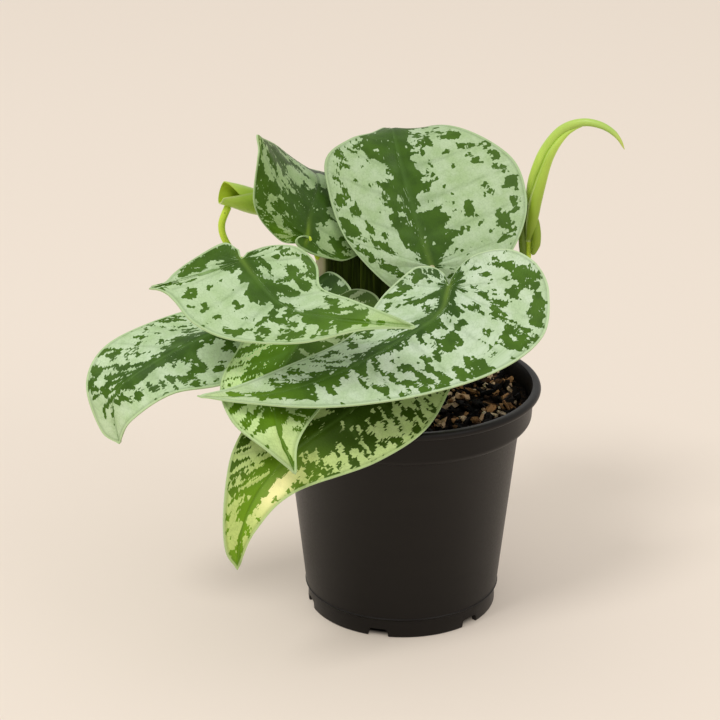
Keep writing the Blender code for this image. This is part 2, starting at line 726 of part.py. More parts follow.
def build_rolled_leaves(collection, parent, material):
    for name, rolled in ROLLED.items():
        rolled_object(name, rolled, collection, parent, material)


def main():
    clear_scene()
    plant = new_collection("potted_satin_pothos")
    axis = bpy.data.objects.new("pot_axis", None)
    axis.location = POT_AXIS
    plant.objects.link(axis)
    cutters = new_collection("cutters", hidden=True)
    black = principled("pot_black", (0.012, 0.011, 0.010), 0.45)
    brown = principled("soil_brown", (0.030, 0.017, 0.010), 0.95)
    green = principled("leaf_green", (0.22, 0.40, 0.16), 0.45)
    olive = principled("stem_olive", (0.30, 0.42, 0.08), 0.5)
    lime = principled("young_leaf_lime", (0.42, 0.62, 0.12), 0.45)
    build_pot(plant, cutters, axis, black)
    build_soil(plant, cutters, axis, brown)
    build_leaves(plant, axis, green)
    build_vines(plant, axis, olive)
    build_rolled_leaves(plant, axis, lime)


main()
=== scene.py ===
"""Looks of the potted satin pothos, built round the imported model. Metres, +Z up, the photo taken from -Y."""

import json
import math
import random

import bmesh
import bpy
import numpy as np
from mathutils import Euler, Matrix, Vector, noise

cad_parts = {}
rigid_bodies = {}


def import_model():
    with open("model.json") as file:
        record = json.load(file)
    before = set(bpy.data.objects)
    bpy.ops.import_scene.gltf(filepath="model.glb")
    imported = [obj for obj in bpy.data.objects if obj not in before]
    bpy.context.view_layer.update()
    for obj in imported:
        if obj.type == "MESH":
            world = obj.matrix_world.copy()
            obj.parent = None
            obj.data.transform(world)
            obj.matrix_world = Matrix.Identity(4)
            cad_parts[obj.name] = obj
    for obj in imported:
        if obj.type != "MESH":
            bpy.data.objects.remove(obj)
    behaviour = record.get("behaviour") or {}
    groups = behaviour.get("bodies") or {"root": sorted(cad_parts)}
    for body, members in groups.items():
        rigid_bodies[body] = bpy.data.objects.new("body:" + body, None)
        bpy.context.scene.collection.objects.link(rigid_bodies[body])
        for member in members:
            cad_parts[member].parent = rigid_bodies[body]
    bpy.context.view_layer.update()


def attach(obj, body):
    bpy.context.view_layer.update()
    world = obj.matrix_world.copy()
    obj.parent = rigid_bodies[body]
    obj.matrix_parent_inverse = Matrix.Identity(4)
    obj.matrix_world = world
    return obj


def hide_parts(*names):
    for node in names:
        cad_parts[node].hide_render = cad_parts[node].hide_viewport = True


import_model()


def mm(values):
    """Metres from millimetres."""
    return np.array(values) / 1000


# The tables below are measured from the pot's axis, which stands here.
POT_AXIS = np.array([0.0179, 0.0037, 0.0])

# Camera, worked out from the pot's rim, band and foot in the photo
CAMERA_AT = (0.0010, -0.8026, 0.4179)
CAMERA_TILT = math.radians(68.66)
LENS_MM = 110
SENSOR_MM = 36

# Pot
RIM_TOP = 0.094
RIM_R = 0.0545
LIP_WIDTH = 0.0035
LIP_HEIGHT = 0.003
BAND_R = 0.0512
BAND_FOOT = 0.0791
BAND_CORNER = 0.003
BODY_TOP_R = 0.0465
BODY_FOOT_R = 0.0388
STEP_Z = 0.0078
FOOT_R = 0.0380
WALL = 0.0012
FLOOR_Z = 0.0042
FOOT_RING = 0.0022
POT_SIDES = 192
NOTCHES = 6
NOTCH_FIRST = math.radians(15)
NOTCH_WIDTH = 0.0095
NOTCH_TOP_WIDTH = 0.0072
NOTCH_HEIGHT = 0.0034
DRAIN_R = 0.0035
DRAIN_RING_R = 0.025
SOIL_TOP = 0.0865

# Blades: the thickness, the grid, how it crowds at the margin, and the share of the margin whose
# veins all start at the joint
SIDES = {"left": -1, "right": 1}
BLADE = 0.0006
ALONG = 132
ACROSS = 26
CROWDING = 1.25
FAN = 0.34
VEIN_RUN = 1.1
# Their veins, how far they bend forwards, the swell between them and the groove over the midrib
VEINS = 9
VEIN_BEND = 0.25
VEIN_REACH = 0.00035
QUILT = 0.00016
QUILT_EDGE = 0.004
SHORT_HALF = 0.02
GROOVE = 0.0005
GROOVE_REACH = 0.0010
GROOVE_START = 1 / 12
RIB_SHARE = (0.0, 0.15, 0.92)
RIB_RADII = mm((1.1, 0.88, 0.3))
# Their marks: the ragged edge of the dark band, the dark fringe inside the margin, the silver tip
# and the yellow-green round the joint
TEETH = (0.35, 1.75)
TOOTH_WIDTH = 0.0027
TOOTH_COUNT = 64
BAND_DEPTH = 1.4
FRINGE_AT = 0.005
FRINGE_REACH = 0.004
TIP_FROM, TIP_FULL = 0.80, 0.94
GLOW_WIDTH = 0.0010
GLOW_SHARE = 0.12
# Each leaf reads its own part of the noises, and so do its left veins.
LEAF_SEED = 7.3
LEFT_SEED = 3.1

# Stems, stalks and flattened stalks (sheaths): radii, and points along and round them
STEM_RADII = mm((2.53, 2.2, 2.2, 2.42))
STEM_GRID = (48, 18)
STALK_RADII = mm((2.2, 1.9, 1.6, 1.3, 1.3, 1.495))
STALK_GRID = (72, 18)
SHEATH_FORM = np.array((0.65, 0.9, 1.0, 1.0, 1.0, 1.0, 0.85, 0.2))
SHEATH_GRID = (72, 28)
SHEATH_FLAT = 0.5
ROOT_MM = 78

# The midrib of each blade from the joint to the tip, the margin of each half from the joint to just
# before the tip, and how much the fields bulge near the joint and near the tip
LEAVES = {
    "leaf_upper": {
        "midrib": mm([(11, 8, 139), (6, 19, 152), (1, 31, 167), (-3, 45, 180), (-4, 60, 181), (-3, 76, 169)]),
        "left": mm([(8, 7, 132), (0, 6, 128), (-12, 8, 137), (-23, 12, 150), (-29, 22, 164),
            (-30.2, 31, 176.5), (-21, 46, 180), (-12.5, 56, 179.7), (-6, 66, 179)]),
        "right": mm([(14, 7, 132), (25, 6, 130), (38, 10, 138), (46, 17, 149), (49, 26, 161), (44, 38, 174),
            (27.5, 52, 181.5), (12, 64, 180.5)]),
        "bulge": (0.02, 0.06),
    },
    "leaf_front": {
        "midrib": mm([(17, -14, 139), (13, -27, 133), (-1, -41, 128), (-25, -56, 120), (-50, -64, 115),
            (-76, -66, 115)]),
        "left": mm([(17.4, -12.8, 139.4), (19.1, -10, 142.3), (23, -7, 146), (28.8, -4, 148.6),
            (37.8, -2, 149.7), (45.2, -3, 148.3), (52, -7.5, 144), (55.5, -14, 135.5), (52, -28, 123),
            (33, -46, 116), (3, -60, 112), (-30, -70, 112), (-60, -70, 114)]),
        "right": mm([(16.6, -12.8, 139.4), (15.3, -10, 142.1), (12.3, -7, 143.5), (8.1, -5, 143.7),
            (2.8, -4.2, 141.9), (-7, -8, 134), (-14, -20, 129), (-23, -36, 125), (-44, -52, 121),
            (-63, -60, 116)]),
        "bulge": (0.05, 0.05),
    },
    "leaf_left": {
        "midrib": mm([(-61, -30, 155), (-56, -37, 151), (-46, -48, 144), (-30, -57, 142), (3, -62, 140)]),
        "left": mm([(-59, -28, 157), (-50, -26, 159), (-40, -28, 159), (-33, -33, 154), (-31, -42, 148),
            (-20, -52, 147), (-6, -60, 144)]),
        "right": mm([(-62, -28, 158), (-68, -26, 160), (-79, -30, 155), (-85.6, -34, 151.2),
            (-88.6, -38, 149.1), (-91.6, -40, 148), (-95, -41, 147.4), (-91.6, -41.4, 147.1),
            (-88.4, -42.5, 146), (-85.3, -45, 144), (-77, -56, 139), (-63, -64, 136), (-39, -70, 137),
            (-16, -67, 141)]),
        "bulge": (0.05, 0.05),
    },
    "leaf_back": {
        "midrib": mm([(-37, 2, 153), (-36, 12, 159), (-33, 25, 165), (-34, 38, 168), (-41, 62, 164)]),
        "left": mm([(-38.1, 2, 151.9), (-40.4, 1, 151), (-43.9, 0, 151.1), (-48.1, -1, 152.9),
            (-54.4, -4, 161.1), (-57.2, -6, 169.3), (-56.6, -6, 178.4), (-55.4, -6, 186.2),
            (-54.8, -4.5, 190.2), (-55.5, -3, 195.2), (-53.6, 2, 192.5), (-49, 28, 182)]),
        "right": mm([(-37.2, 1.4, 152.7), (-38.8, -1, 154.3), (-40.9, -3, 154.1), (-41.4, -4, 153),
            (-40.3, -3.5, 150.9), (-37.7, -1.5, 148.6), (-34.3, 1, 146.2), (-28, 6, 143), (-20.5, 14, 140.2),
            (-11, 24, 145), (-13, 36, 155), (-23, 46, 163)]),
        "bulge": (0.05, 0.03),
    },
    "leaf_far_left": {
        "midrib": mm([(-44, -2, 129), (-59, -12, 125), (-76, -20, 121), (-97, -28, 112), (-111, -30, 100),
            (-110, -28, 79)]),
        "left": mm([(-38, 4, 130), (-29, 8, 137), (-20, 2, 131), (-21, -12, 122), (-36, -24, 112),
            (-69, -36, 107), (-88, -38, 104), (-104, -36, 92)]),
        "right": mm([(-40, 6, 131), (-41, 12, 132), (-52, 14, 129), (-72, 8, 125), (-99, -4, 120),
            (-116, -16, 114), (-122, -24, 102), (-117, -26, 84)]),
        "bulge": (0.05, 0.05),
    },
    "leaf_pointing_down": {
        "midrib": mm([(-31, -16, 129), (-41, -34, 122), (-48, -54, 114), (-47, -70, 105), (-40, -80, 90)]),
        "left": mm([(-29, -8, 130), (-19, -4, 134), (-10, -8, 132), (-9, -20, 125), (-19, -42, 115),
            (-31, -60, 108), (-39, -73, 100)]),
        "right": mm([(-33, -10, 130), (-44, -8, 131), (-57, -20, 128), (-62, -36, 123), (-68, -58, 116),
            (-63, -72, 107), (-50, -80, 99)]),
        "bulge": (0.05, 0.05),
    },
    "leaf_over_rim": {
        "midrib": mm([(-2, -30, 110), (-21, -50, 102), (-39, -65, 94), (-53, -75, 82), (-60, -80, 67),
            (-62, -78, 50)]),
        "left": mm([(2, -24, 111), (14, -20, 115), (19, -26, 110), (17, -34, 104), (7, -54, 96),
            (-12, -66, 88), (-41, -75, 80), (-55, -80, 67)]),
        "right": mm([(-3, -26, 112), (-17, -24, 114), (-36, -38, 112), (-54, -58, 106), (-63, -72, 96),
            (-66, -82, 80), (-66, -83, 61)]),
        "bulge": (0.05, 0.05),
    },
}

# How each blade is marked: the share of silver, the half width of the dark band along the midrib
# from the stalk to the tip, how dark the fringe inside the margin is, how silver the tip is, how
# much the marks run in streaks along the veins, how lime green and how deep green the ground is
# from the stalk to the tip, and how yellow its veins start. Its tone multiplies its colours: partly
# the leaf's own tone and partly painted light and shade for how brightly the whole leaf is lit.
# Spots of silver (below 0 of green) in "patches", of lime green, of cream and of painted shade
# (below 0, painted light) follow as (half, amount): [(percent round the margin, percent out from
# the midrib, size in millimetres)].
MARKS = {
    "leaf_upper": {
        "silver": 0.62, "band": mm((2.8, 4.5, 6.5, 8.5, 8.5, 7)), "fringe": 0.3, "tip": 0.0, "streaky": 0.55,
        "lime": (0.05, 0.1, 0.1, 0.2), "deep": (0.1, 0.1), "glow": 0.15, "tone_and_painted_light": (0.86, 0.89, 0.86),
        "patches": {
            ("left", -0.9): [(45, 19, 1.6), (41, 12, 1.9), (39, 8, 1.9), (37, 3, 1.6), (49, 25, 1.6),
                (47, 34, 1.2), (32, 61, 1.6), (39, 45, 1.6), (20, 61, 1.6), (26, 81, 1.6), (39, 59, 1.6),
                (46, 24, 1.9), (20, 75, 1.9), (15, 59, 1.6), (31, 95, 1.6), (42, 62, 1.6)],
            ("right", -0.9): [(40, 8, 1.9), (43, 18, 1.6), (47, 25, 1.6), (51, 20, 1.6), (40, 23, 1.6),
                (40, 29, 1.2), (30, 40, 1.2), (47, 12, 1.9), (43, 10, 2.3), (39, 12, 1.2)],
            ("right", -1.3): [(46, 46, 1.9), (49, 69, 2.3), (48, 90, 2.5), (41, 74, 2.5), (72, 80, 2.5)],
            ("right", -1.2): [(65, 80, 1.7), (60, 73, 1.7), (43, 89, 2), (37, 78, 2), (32, 78, 1.8),
                (58, 90, 2), (63, 96, 2), (73, 49, 1.8), (45, 15, 2.2)],
            ("left", -1.3): [(45, 71, 2.5), (38, 90, 2.5), (20, 65, 2.5)],
            ("left", -1.2): [(36, 79, 2.2), (45, 89, 1.8), (35, 49, 2.1), (66, 53, 1.8), (61, 88, 1.8)],
            ("left", -1.1): [(75, 30, 4.5)],
            ("left", -0.7): [(71, 64, 3.5)],
            ("left", -1.0): [(35, 55, 1.9), (32, 41, 1.6), (41, 21, 2.3)],
        },
    },
    "leaf_front": {
        "silver": 0.62, "band": mm((3, 4, 5, 4.5, 3, 1)), "fringe": 0.45, "tip": 1.4, "streaky": 0.6,
        "lime": (0.0, 0.0, 0.1, 0.7), "deep": (0.0, 0.0), "glow": 0.2, "tone_and_painted_light": (1.1, 1.09, 1.18),
        "patches": {
            ("right", -1.0): [(28, 99, 1.3), (27, 91, 1.3), (25, 81, 1.3), (23, 74, 1.3), (18, 71, 1.3),
                (15, 65, 1.3), (17, 45, 1.3), (36, 66, 1.3), (35, 55, 1.3), (36, 41, 1.3), (36, 28, 1.5),
                (22, 100, 1.3), (34, 81, 1.3), (35, 18, 1.3)],
            ("left", -1.0): [(4, 99, 1.3), (6, 96, 1.3), (6, 43, 1.3), (17, 19, 1.3), (16, 30, 1.3),
                (16, 41, 1.3), (17, 50, 1.3), (23, 24, 1.3), (29, 16, 1.3), (27, 34, 1.3), (18, 59, 1.3),
                (16, 69, 1.5), (21, 68, 1.3), (38, 1, 1.3)],
            ("left", 0.9): [(77, 81, 3.1), (73, 85, 3.1), (81, 74, 2.7)],
            ("left", 0.8): [(70, 88, 3.1), (85, 71, 2.3)],
            ("left", 0.6): [(65, 84, 2.7)],
            ("left", 0.5): [(90, 49, 2.3)],
            ("left", -1.05): [(18, 76, 3.3), (20, 76, 2.5), (22, 80, 2.5), (24, 86, 2), (27, 64, 2.5),
                (27, 91, 1.6), (30, 84, 2.9), (32, 88, 2.9), (35, 83, 2.5), (36, 70, 2.5), (39, 74, 2.5),
                (39, 83, 1.6), (39, 89, 2), (41, 71, 2), (44, 76, 2), (47, 76, 2), (48, 64, 2), (48, 34, 2),
                (50, 43, 1.6), (47, 43, 1.4), (43, 29, 1.6), (40, 54, 1.8), (34, 59, 2), (34, 50, 2),
                (35, 30, 1.2), (32, 45, 1.6), (28, 36, 1.6), (21, 61, 1.6), (54, 45, 2), (56, 59, 2),
                (61, 44, 2), (52, 90, 2.5), (55, 84, 2), (48, 89, 2.5), (58, 80, 1.6), (15, 64, 2),
                (12, 50, 2), (17, 45, 1.2), (60, 93, 1.6), (64, 91, 1.4), (67, 95, 1.2), (57, 94, 1.4),
                (50, 97, 1), (46, 96, 1.2), (42, 96, 1.2), (36, 97, 1.2), (62, 68, 1.6), (66, 72, 1.6)],
        },
    },
    "leaf_left": {
        "silver": 0.66, "band": mm((6, 6, 4.5, 4, 2, 1)), "fringe": 0.52, "tip": 1.4, "streaky": 0.65,
        "lime": (0.1, 0.1, 0.3, 0.9), "deep": (0.1, 0.0), "glow": 0.2, "tone_and_painted_light": (0.93, 0.97, 0.93),
        "patches": {
            ("left", 0.5): [(94, 62, 10)],
            ("right", -1.1): [(7, 60, 1.7), (20, 83, 1.7), (18, 66, 1.7), (14, 69, 1.3), (34, 73, 1.7),
                (41, 71, 1.7), (47, 73, 1.7), (52, 55, 1.7), (47, 43, 1.3), (49, 21, 1.3), (60, 65, 1.7),
                (63, 33, 1.7), (70, 68, 1.7), (52, 85, 1.7), (36, 53, 1.3), (73, 21, 1.3)],
            ("left", -1.1): [(29, 51, 1.7), (38, 64, 1.7), (33, 90, 1.7), (42, 90, 1.7), (47, 70, 1.7),
                (36, 31, 1.3), (52, 35, 1.7), (61, 76, 1.3), (75, 65, 1.3)],
        },
    },
    "leaf_back": {
        "silver": -0.38, "band": mm((5, 5, 4, 3, 3, 2)), "fringe": 0.0, "tip": 0.0, "streaky": 0.6,
        "lime": (0.35, 0.1, 0.0, 0.0), "deep": (0.1, 0.4), "glow": 0.7, "tone_and_painted_light": (0.68, 0.76, 0.6),
        "patches": {
            ("right", 1.2): [(36, 35, 4.2), (20, 96, 4), (77, 5, 2.7)],
            ("right", 0.7): [(50, 34, 3), (47, 48, 2.6)],
            ("right", 1.0): [(40, 96, 4), (71, 5, 1.9), (91, 49, 2.3)],
            ("left", 0.6): [(43, 46, 4.5), (39, 79, 4), (59, 33, 2.2), (57, 46, 2.3), (45, 30, 2.2)],
            ("left", 0.65): [(68, 39, 7)],
            ("left", 0.9): [(23, 51, 3)],
            ("left", -0.8): [(37, 30, 3.5), (59, 22, 1.8), (27, 85, 2.5)],
            ("left", 1.1): [(63, 14, 2.6), (69, 5, 3), (34, 36, 1.9)],
            ("left", 0.5): [(47, 55, 2.3)],
            ("right", 0.9): [(69, 5, 3), (71, 20, 1.6)],
            ("left", 1.0): [(27, 68, 1.6), (23, 51, 1.9)],
            ("left", 0.8): [(41, 25, 1.2), (18, 49, 1.6), (10, 80, 3.5)],
        },
        "bright": {("left", 1.5): [(42, 100, 3)], ("left", 0.5): [(12, 60, 6)]},
    },
    "leaf_far_left": {
        "silver": 0.36, "band": mm((5, 6, 5, 4, 2, 1)), "fringe": 0.2, "tip": 1.2, "streaky": 0.6,
        "lime": (0.0, 0.05, 0.05, 0.2), "deep": (0.1, 0.0), "glow": 0.0, "tone_and_painted_light": (1.07, 1.1, 1.08),
        "patches": {
            ("left", 0.7): [(9, 93, 1.9), (13, 93, 1.6)],
            ("left", 1.0): [(12, 68, 1.8)],
            ("left", 0.8): [(9, 75, 1.4), (11, 84, 1.3)],
            ("right", -1.1): [(69, 97, 1.7), (76, 85, 1.7), (84, 83, 1.7), (70, 80, 1.3), (75, 46, 1.7),
                (81, 54, 1.7), (91, 46, 1.7), (48, 94, 1.7)],
            ("left", -1.1): [(88, 26, 1.7), (83, 54, 1.3), (79, 66, 1.3), (73, 59, 1.7), (66, 55, 1.7),
                (62, 66, 1.3), (80, 16, 1.3)],
        },
        # Painted shade on the lobe that lies in the gap between the leaves.
        "shades": {("left", 0.35): [(11, 95, 12)]},
    },
    "leaf_pointing_down": {
        "silver": -0.14, "band": mm((4, 5, 5, 3, 1, 0.4)), "fringe": 0.0, "tip": 0.9, "streaky": 0.9,
        "lime": (0.3, 0.3, 0.4, 0.5), "deep": (0.1, 0.2, 0.4), "glow": 0.0, "tone_and_painted_light": (1.0, 1.02, 0.88),
        "patches": {
            ("left", 0.9): [(13, 90, 1.2)],
            ("left", 0.7): [(20, 91, 1.2)],
            ("left", 0.8): [(13, 78, 1.4)],
        },
        "bright": {("left", 0.3): [(90, 0, 6)], ("right", 0.3): [(90, 0, 6)]},
        # Painted shade on the lobe in the gap and on the lower part, and painted light (below 0) on the upper
        # part, which lies under the leaves above.
        "shades": {
            ("left", 0.7): [(14, 90, 14)],
            ("right", -1.6): [(53, 38, 16)],
            ("right", 0.55): [(81, 50, 20)],
        },
    },
    "leaf_over_rim": {
        "silver": 0.12, "band": mm((4, 4, 3.5, 2, 1, 0.5)), "fringe": 0.0, "tip": 0.1, "streaky": 0.85,
        "lime": (0.3, 0.35, 0.75, 1.0), "deep": (0.7, 0.7, 0.25, 0.0), "glow": 0.0,
        "tone_and_painted_light": (0.97, 0.97, 0.72),
        "patches": {("left", 0.2): [(77, 50, 3), (81, 52, 3)]},
        "bright": {("left", 1.0): [(80, 50, 10)], ("right", 0.8): [(80, 30, 7)]},
        "cream": {("left", 1.2): [(78, 50, 4.5)]},
    },
}

# Each rolled leaf is one or more rolls: a route, the radius along it, the way its outer edge faces,
# how far that edge lies round the roll and how far the sheet winds, in turns, at the open end and
# further on, and how bright it is along the roll. Its base lobes are (route, radii, brightness).
ROLLED = {
    "rolled_leaf_right": {
        "rolls": [
            {
                "route": mm([(51, 33.5, 153.3), (51.2, 34, 160.2), (52.2, 34, 167.2), (54.7, 33, 175.5),
                    (57.6, 32, 181.5), (61.5, 30, 187.2), (66, 28, 190.6), (71.2, 26, 192.1),
                    (76.4, 24, 191.6), (80.6, 22, 189.8), (83.6, 20, 187.1), (85.8, 19, 183.2)]),
                "radii": mm((1.6, 2.1, 2.2, 2.25, 2.2, 2, 1.7, 1.5, 1.1, 0.3)),
                "seam": (0.5, -0.2, -1.0), "first": (0.0, 0.0), "last": (1.55, 1.55), "bright": (0.25, 1.0),
            },
            {
                "route": mm([(50.5, 30.8, 142), (51.2, 30.8, 147.4), (51.8, 30.8, 152.8), (52.8, 31, 159),
                    (54.4, 31, 165.7), (56.3, 30.8, 172.5), (58.1, 30, 177.9), (60.7, 29.2, 182.8),
                    (64, 28.2, 187), (67.5, 27.2, 189.6), (70.9, 26.2, 191.1)]),
                "radii": mm((1.3, 2.3, 2.6, 2.6, 2.3, 1.9, 1.7, 1.3, 0.8, 0.3)),
                "seam": (-1.0, -0.5, 0.0), "first": (0.0, 0.0), "last": (1.55, 1.55), "bright": (0.12, 0.6),
            },
        ],
        "lobes": [
            # This lobe lies in shade: its lowest brightness, the darkest of the young leaf's colours, is
            # partly painted shade.
            (
                mm([(49.2, 32.5, 156.8), (48.3, 32.2, 149.5), (48.4, 31.2, 142.3), (48.8, 30.2, 134.5)]),
                mm((0.8, 1.7, 2, 1.9, 1.4)), 0.0,
            ),
            (
                mm([(52.9, 30.6, 154), (53.6, 30, 146.6), (53.4, 29.4, 140.9), (52.2, 29.2, 136.5)]),
                mm((0.5, 1.4, 1.8, 1.9, 0.8)), 0.16,
            ),
        ],
    },
    "rolled_leaf_left": {
        "rolls": [
            {
                "route": mm([(-70.5, 14, 167.6), (-64.5, 15.5, 165.5), (-58, 20, 162), (-51, 27, 159),
                    (-43, 37, 157)]),
                "radii": mm((4.7, 5.1, 5.2, 3.8, 0.4)),
                "seam": (0.0, -0.6, 1.0), "first": (0.2, -0.05), "last": (0.88, 1.5), "bright": (0.42, 0.34),
            },
        ],
    },
}

# Sheaths are (route, radius, how dry they are). A dry one gets the pale dry colour only on its lit left side,
# so that colour is partly painted light.
VINES = {
    "vine_right": {
        "stem": mm([(20, 12, ROOT_MM), (20, 12, 90), (22, 14, 102), (26, 16, 110)]),
        "stalks": {
            "leaf_upper": mm([(20, 12, 94), (16, 15, 110), (12, 15, 126)]),
            "leaf_front": mm([(20, 12, 92), (19, 6, 106), (18, -2, 122)]),
            "rolled_leaf_right": mm([(25, 16, 108), (33, 21, 116), (42, 27, 124), (49, 30, 131),
                (50.7, 31, 138), (50.8, 31, 145)]),
        },
    },
    "vine_left": {
        "stem": mm([(-24, 17, ROOT_MM), (-24, 17, 90), (-25, 17, 104), (-27, 16, 113)]),
        "sheaths": [
            (mm([(-26, 18, ROOT_MM), (-30.5, 16, 110), (-30.8, 14.5, 135), (-30, 16.5, 152.5)]), 0.0042, 1.0),
            (mm([(-24, 22, ROOT_MM), (-24, 19, 110), (-24, 17, 135), (-24.5, 19, 151.5)]), 0.004, 0.0),
            (mm([(-20, 18, ROOT_MM), (-19, 20, 110), (-18.7, 19, 135), (-18.5, 21, 150)]), 0.0038, 0.0),
            (mm([(-18, 23, ROOT_MM), (-14, 20, 110), (-13.8, 19, 135), (-15, 20.5, 151)]), 0.0034, 0.0),
            (mm([(-16, 19, ROOT_MM), (-9, 21, 110), (-8.5, 19.5, 132), (-9.5, 20.5, 149)]), 0.0038, 0.0),
        ],
        "stalks": {
            "leaf_back": mm([(-26, 18, 108), (-29, 18, 124), (-34, 13, 143)]),
            "leaf_left": mm([(-25, 17, 102), (-34, 19, 120), (-44, 15, 134), (-52, 4, 142), (-58, -10, 147),
                (-61, -23, 151)]),
            "rolled_leaf_left": mm([(-24, 17, 92), (-34, 25, 104), (-50, 28, 120), (-62, 22, 134),
                (-69, 15, 146), (-71, 14, 154), (-68, 14, 162.5)]),
        },
    },
    "vine_front": {
        "stem": mm([(-6, -6, ROOT_MM), (-6, -6, 90), (-7, -6, 98), (-9, -6, 106)]),
        "stalks": {
            "leaf_pointing_down": mm([(-9, -6, 104), (-12, -12, 114), (-18, -17, 121)]),
            "leaf_far_left": mm([(-7, -4, 96), (-18, 3, 106), (-30, 4, 118)]),
            "leaf_over_rim": mm([(-6, -7, 93), (-1, -16, 98), (1, -24, 104)]),
        },
    },
}


# Curves and meshes


RAIL_STEPS = 24
SAME_PLACE = 0.000004
ACROSS_STALKS = (1.0, 0.3, 0.2)


def rail(points):
    """A smooth curve through the points: its places, and the length of the curve up to each."""
    p = np.array(points, float)
    p = np.vstack([2 * p[0] - p[1], p, 2 * p[-1] - p[-2]])
    u = np.linspace(0, 1, RAIL_STEPS, endpoint=False)[:, None]
    runs = []
    for a, b, c, d in zip(p, p[1:], p[2:], p[3:]):
        bend = 2 * a - 5 * b + 4 * c - d + u * (3 * (b - c) + d - a)
        runs.append(b + 0.5 * u * (c - a + u * bend))
    curve = np.vstack(runs + [p[-2:-1]])
    reach = np.cumsum(np.linalg.norm(np.diff(curve, axis=0), axis=1))
    return curve, np.concatenate([[0.0], reach])


def length_of(points):
    return rail(points)[1][-1]


def on_rail(points, share):
    curve, reach = rail(points)
    return np.stack([np.interp(share, reach / reach[-1], curve[:, k]) for k in range(3)], -1)


def evenly(values, share):
    """The value at each share, from values that stand at even distances."""
    return np.interp(share, np.linspace(0, 1, len(values)), values)


def rise(value, low, high):
    """0 up to low, and 1 from high on."""
    return np.clip((value - low) / (high - low), 0, 1)


def fall(distance, reach):
    """1 at no distance, and next to nothing at twice the reach."""
    return np.exp(-((distance / reach) ** 2))


def unit(vectors):
    return vectors / np.maximum(np.linalg.norm(vectors, axis=-1, keepdims=True), 1e-9)


def polar(radius, angle):
    return radius * math.cos(angle), radius * math.sin(angle)


def grid_faces(rows, columns, ring=False, start=0, flip=False):
    """Quads between rows of points. A ring joins the last point of a row to its first."""
    faces = []
    for a in range(start, start + (rows - 1) * columns, columns):
        for j in range(columns if ring else columns - 1):
            n = (j + 1) % columns
            quad = (a + j, a + n, a + columns + n, a + columns + j)
            faces.append((quad[0], *quad[:0:-1]) if flip else quad)
    return faces


def add_object(name, data):
    obj = bpy.data.objects.new(name, data)
    bpy.context.scene.collection.objects.link(obj)
    return obj


def new_mesh(name, points, faces, numbers, *materials):
    """An object from points measured from the pot's axis, with a number at each point under each name."""
    mesh = bpy.data.meshes.new(name)
    mesh.from_pydata((np.asarray(points) + POT_AXIS).tolist(), [], [list(map(int, f)) for f in faces])
    for key, values in numbers.items():
        values = np.asarray(values, np.float32)
        kind, field = ("FLOAT", "value") if values.ndim == 1 else ("FLOAT_VECTOR", "vector")
        mesh.attributes.new(key, kind, "POINT").data.foreach_set(field, values.ravel())
    for material in materials:
        mesh.materials.append(material)
    mesh.shade_smooth()
    return add_object(name, mesh)


def joined(name, parts, material):
    """One object from several (points, faces, numbers). A number may be the same all over a part."""
    all_points, all_faces, numbers, start = [], [], {}, 0
    for points, faces, part_numbers in parts:
        all_points.append(points)
        all_faces += [tuple(i + start for i in face) for face in faces]
        for key, values in part_numbers.items():
            values = np.broadcast_to(values, (len(points), *np.shape(values)[1:]))
            numbers.setdefault(key, []).append(values)
        start += len(points)
    numbers = {key: np.concatenate(values) for key, values in numbers.items()}
    return new_mesh(name, np.vstack(all_points), all_faces, numbers, material)


def sharpen(obj, degrees):
    obj.data.set_sharp_from_angle(angle=math.radians(degrees))


def edit(obj, change):
    bm = bmesh.new()
    bm.from_mesh(obj.data)
    change(bm)
    bm.to_mesh(obj.data)
    bm.free()


def apply_modifiers(obj):
    bpy.context.view_layer.update()
    graph = bpy.context.evaluated_depsgraph_get()
    mesh = bpy.data.meshes.new_from_object(
        obj.evaluated_get(graph), preserve_all_data_layers=True, depsgraph=graph
    )
    obj.modifiers.clear()
    obj.data = mesh


def place_piece(obj, slot, *nodes):
    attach(obj, "root")
    if nodes:
        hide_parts(*nodes)


def ways_across(places, towards):
    """Two ways across a route at each of its places, the first nearest "towards"."""
    way = unit(np.gradient(places, axis=0))
    first = np.asarray(towards, float)
    first = unit(first - way * (way @ first)[:, None])
    return first, np.cross(way, first)


def swept(route, radii, grid, flat=1.0):
    """A tube with round ends along a route: its points, its faces and the share along at each point."""
    steps, sides = grid
    share = np.linspace(0, 1, steps)
    places = on_rail(route, share)
    across, up = ways_across(places, ACROSS_STALKS)
    radius = evenly(radii, share)
    cap = rise(np.minimum(share, 1 - share) * length_of(route), 0, np.maximum(radius, 1e-6))
    radius = radius * np.sqrt(np.clip(1 - (1 - cap) ** 2, 0.0004, 1))
    turn = np.arange(sides)[:, None] / sides * 2 * np.pi
    ring = across[:, None] * np.cos(turn) + flat * up[:, None] * np.sin(turn)
    points = (places[:, None] + ring * radius[:, None, None]).reshape(-1, 3)
    faces = grid_faces(steps, sides, ring=True)
    faces.append(tuple(range(sides))[::-1])
    faces.append(tuple(range((steps - 1) * sides, steps * sides)))
    return points, faces, np.repeat(share, sides)


# Materials


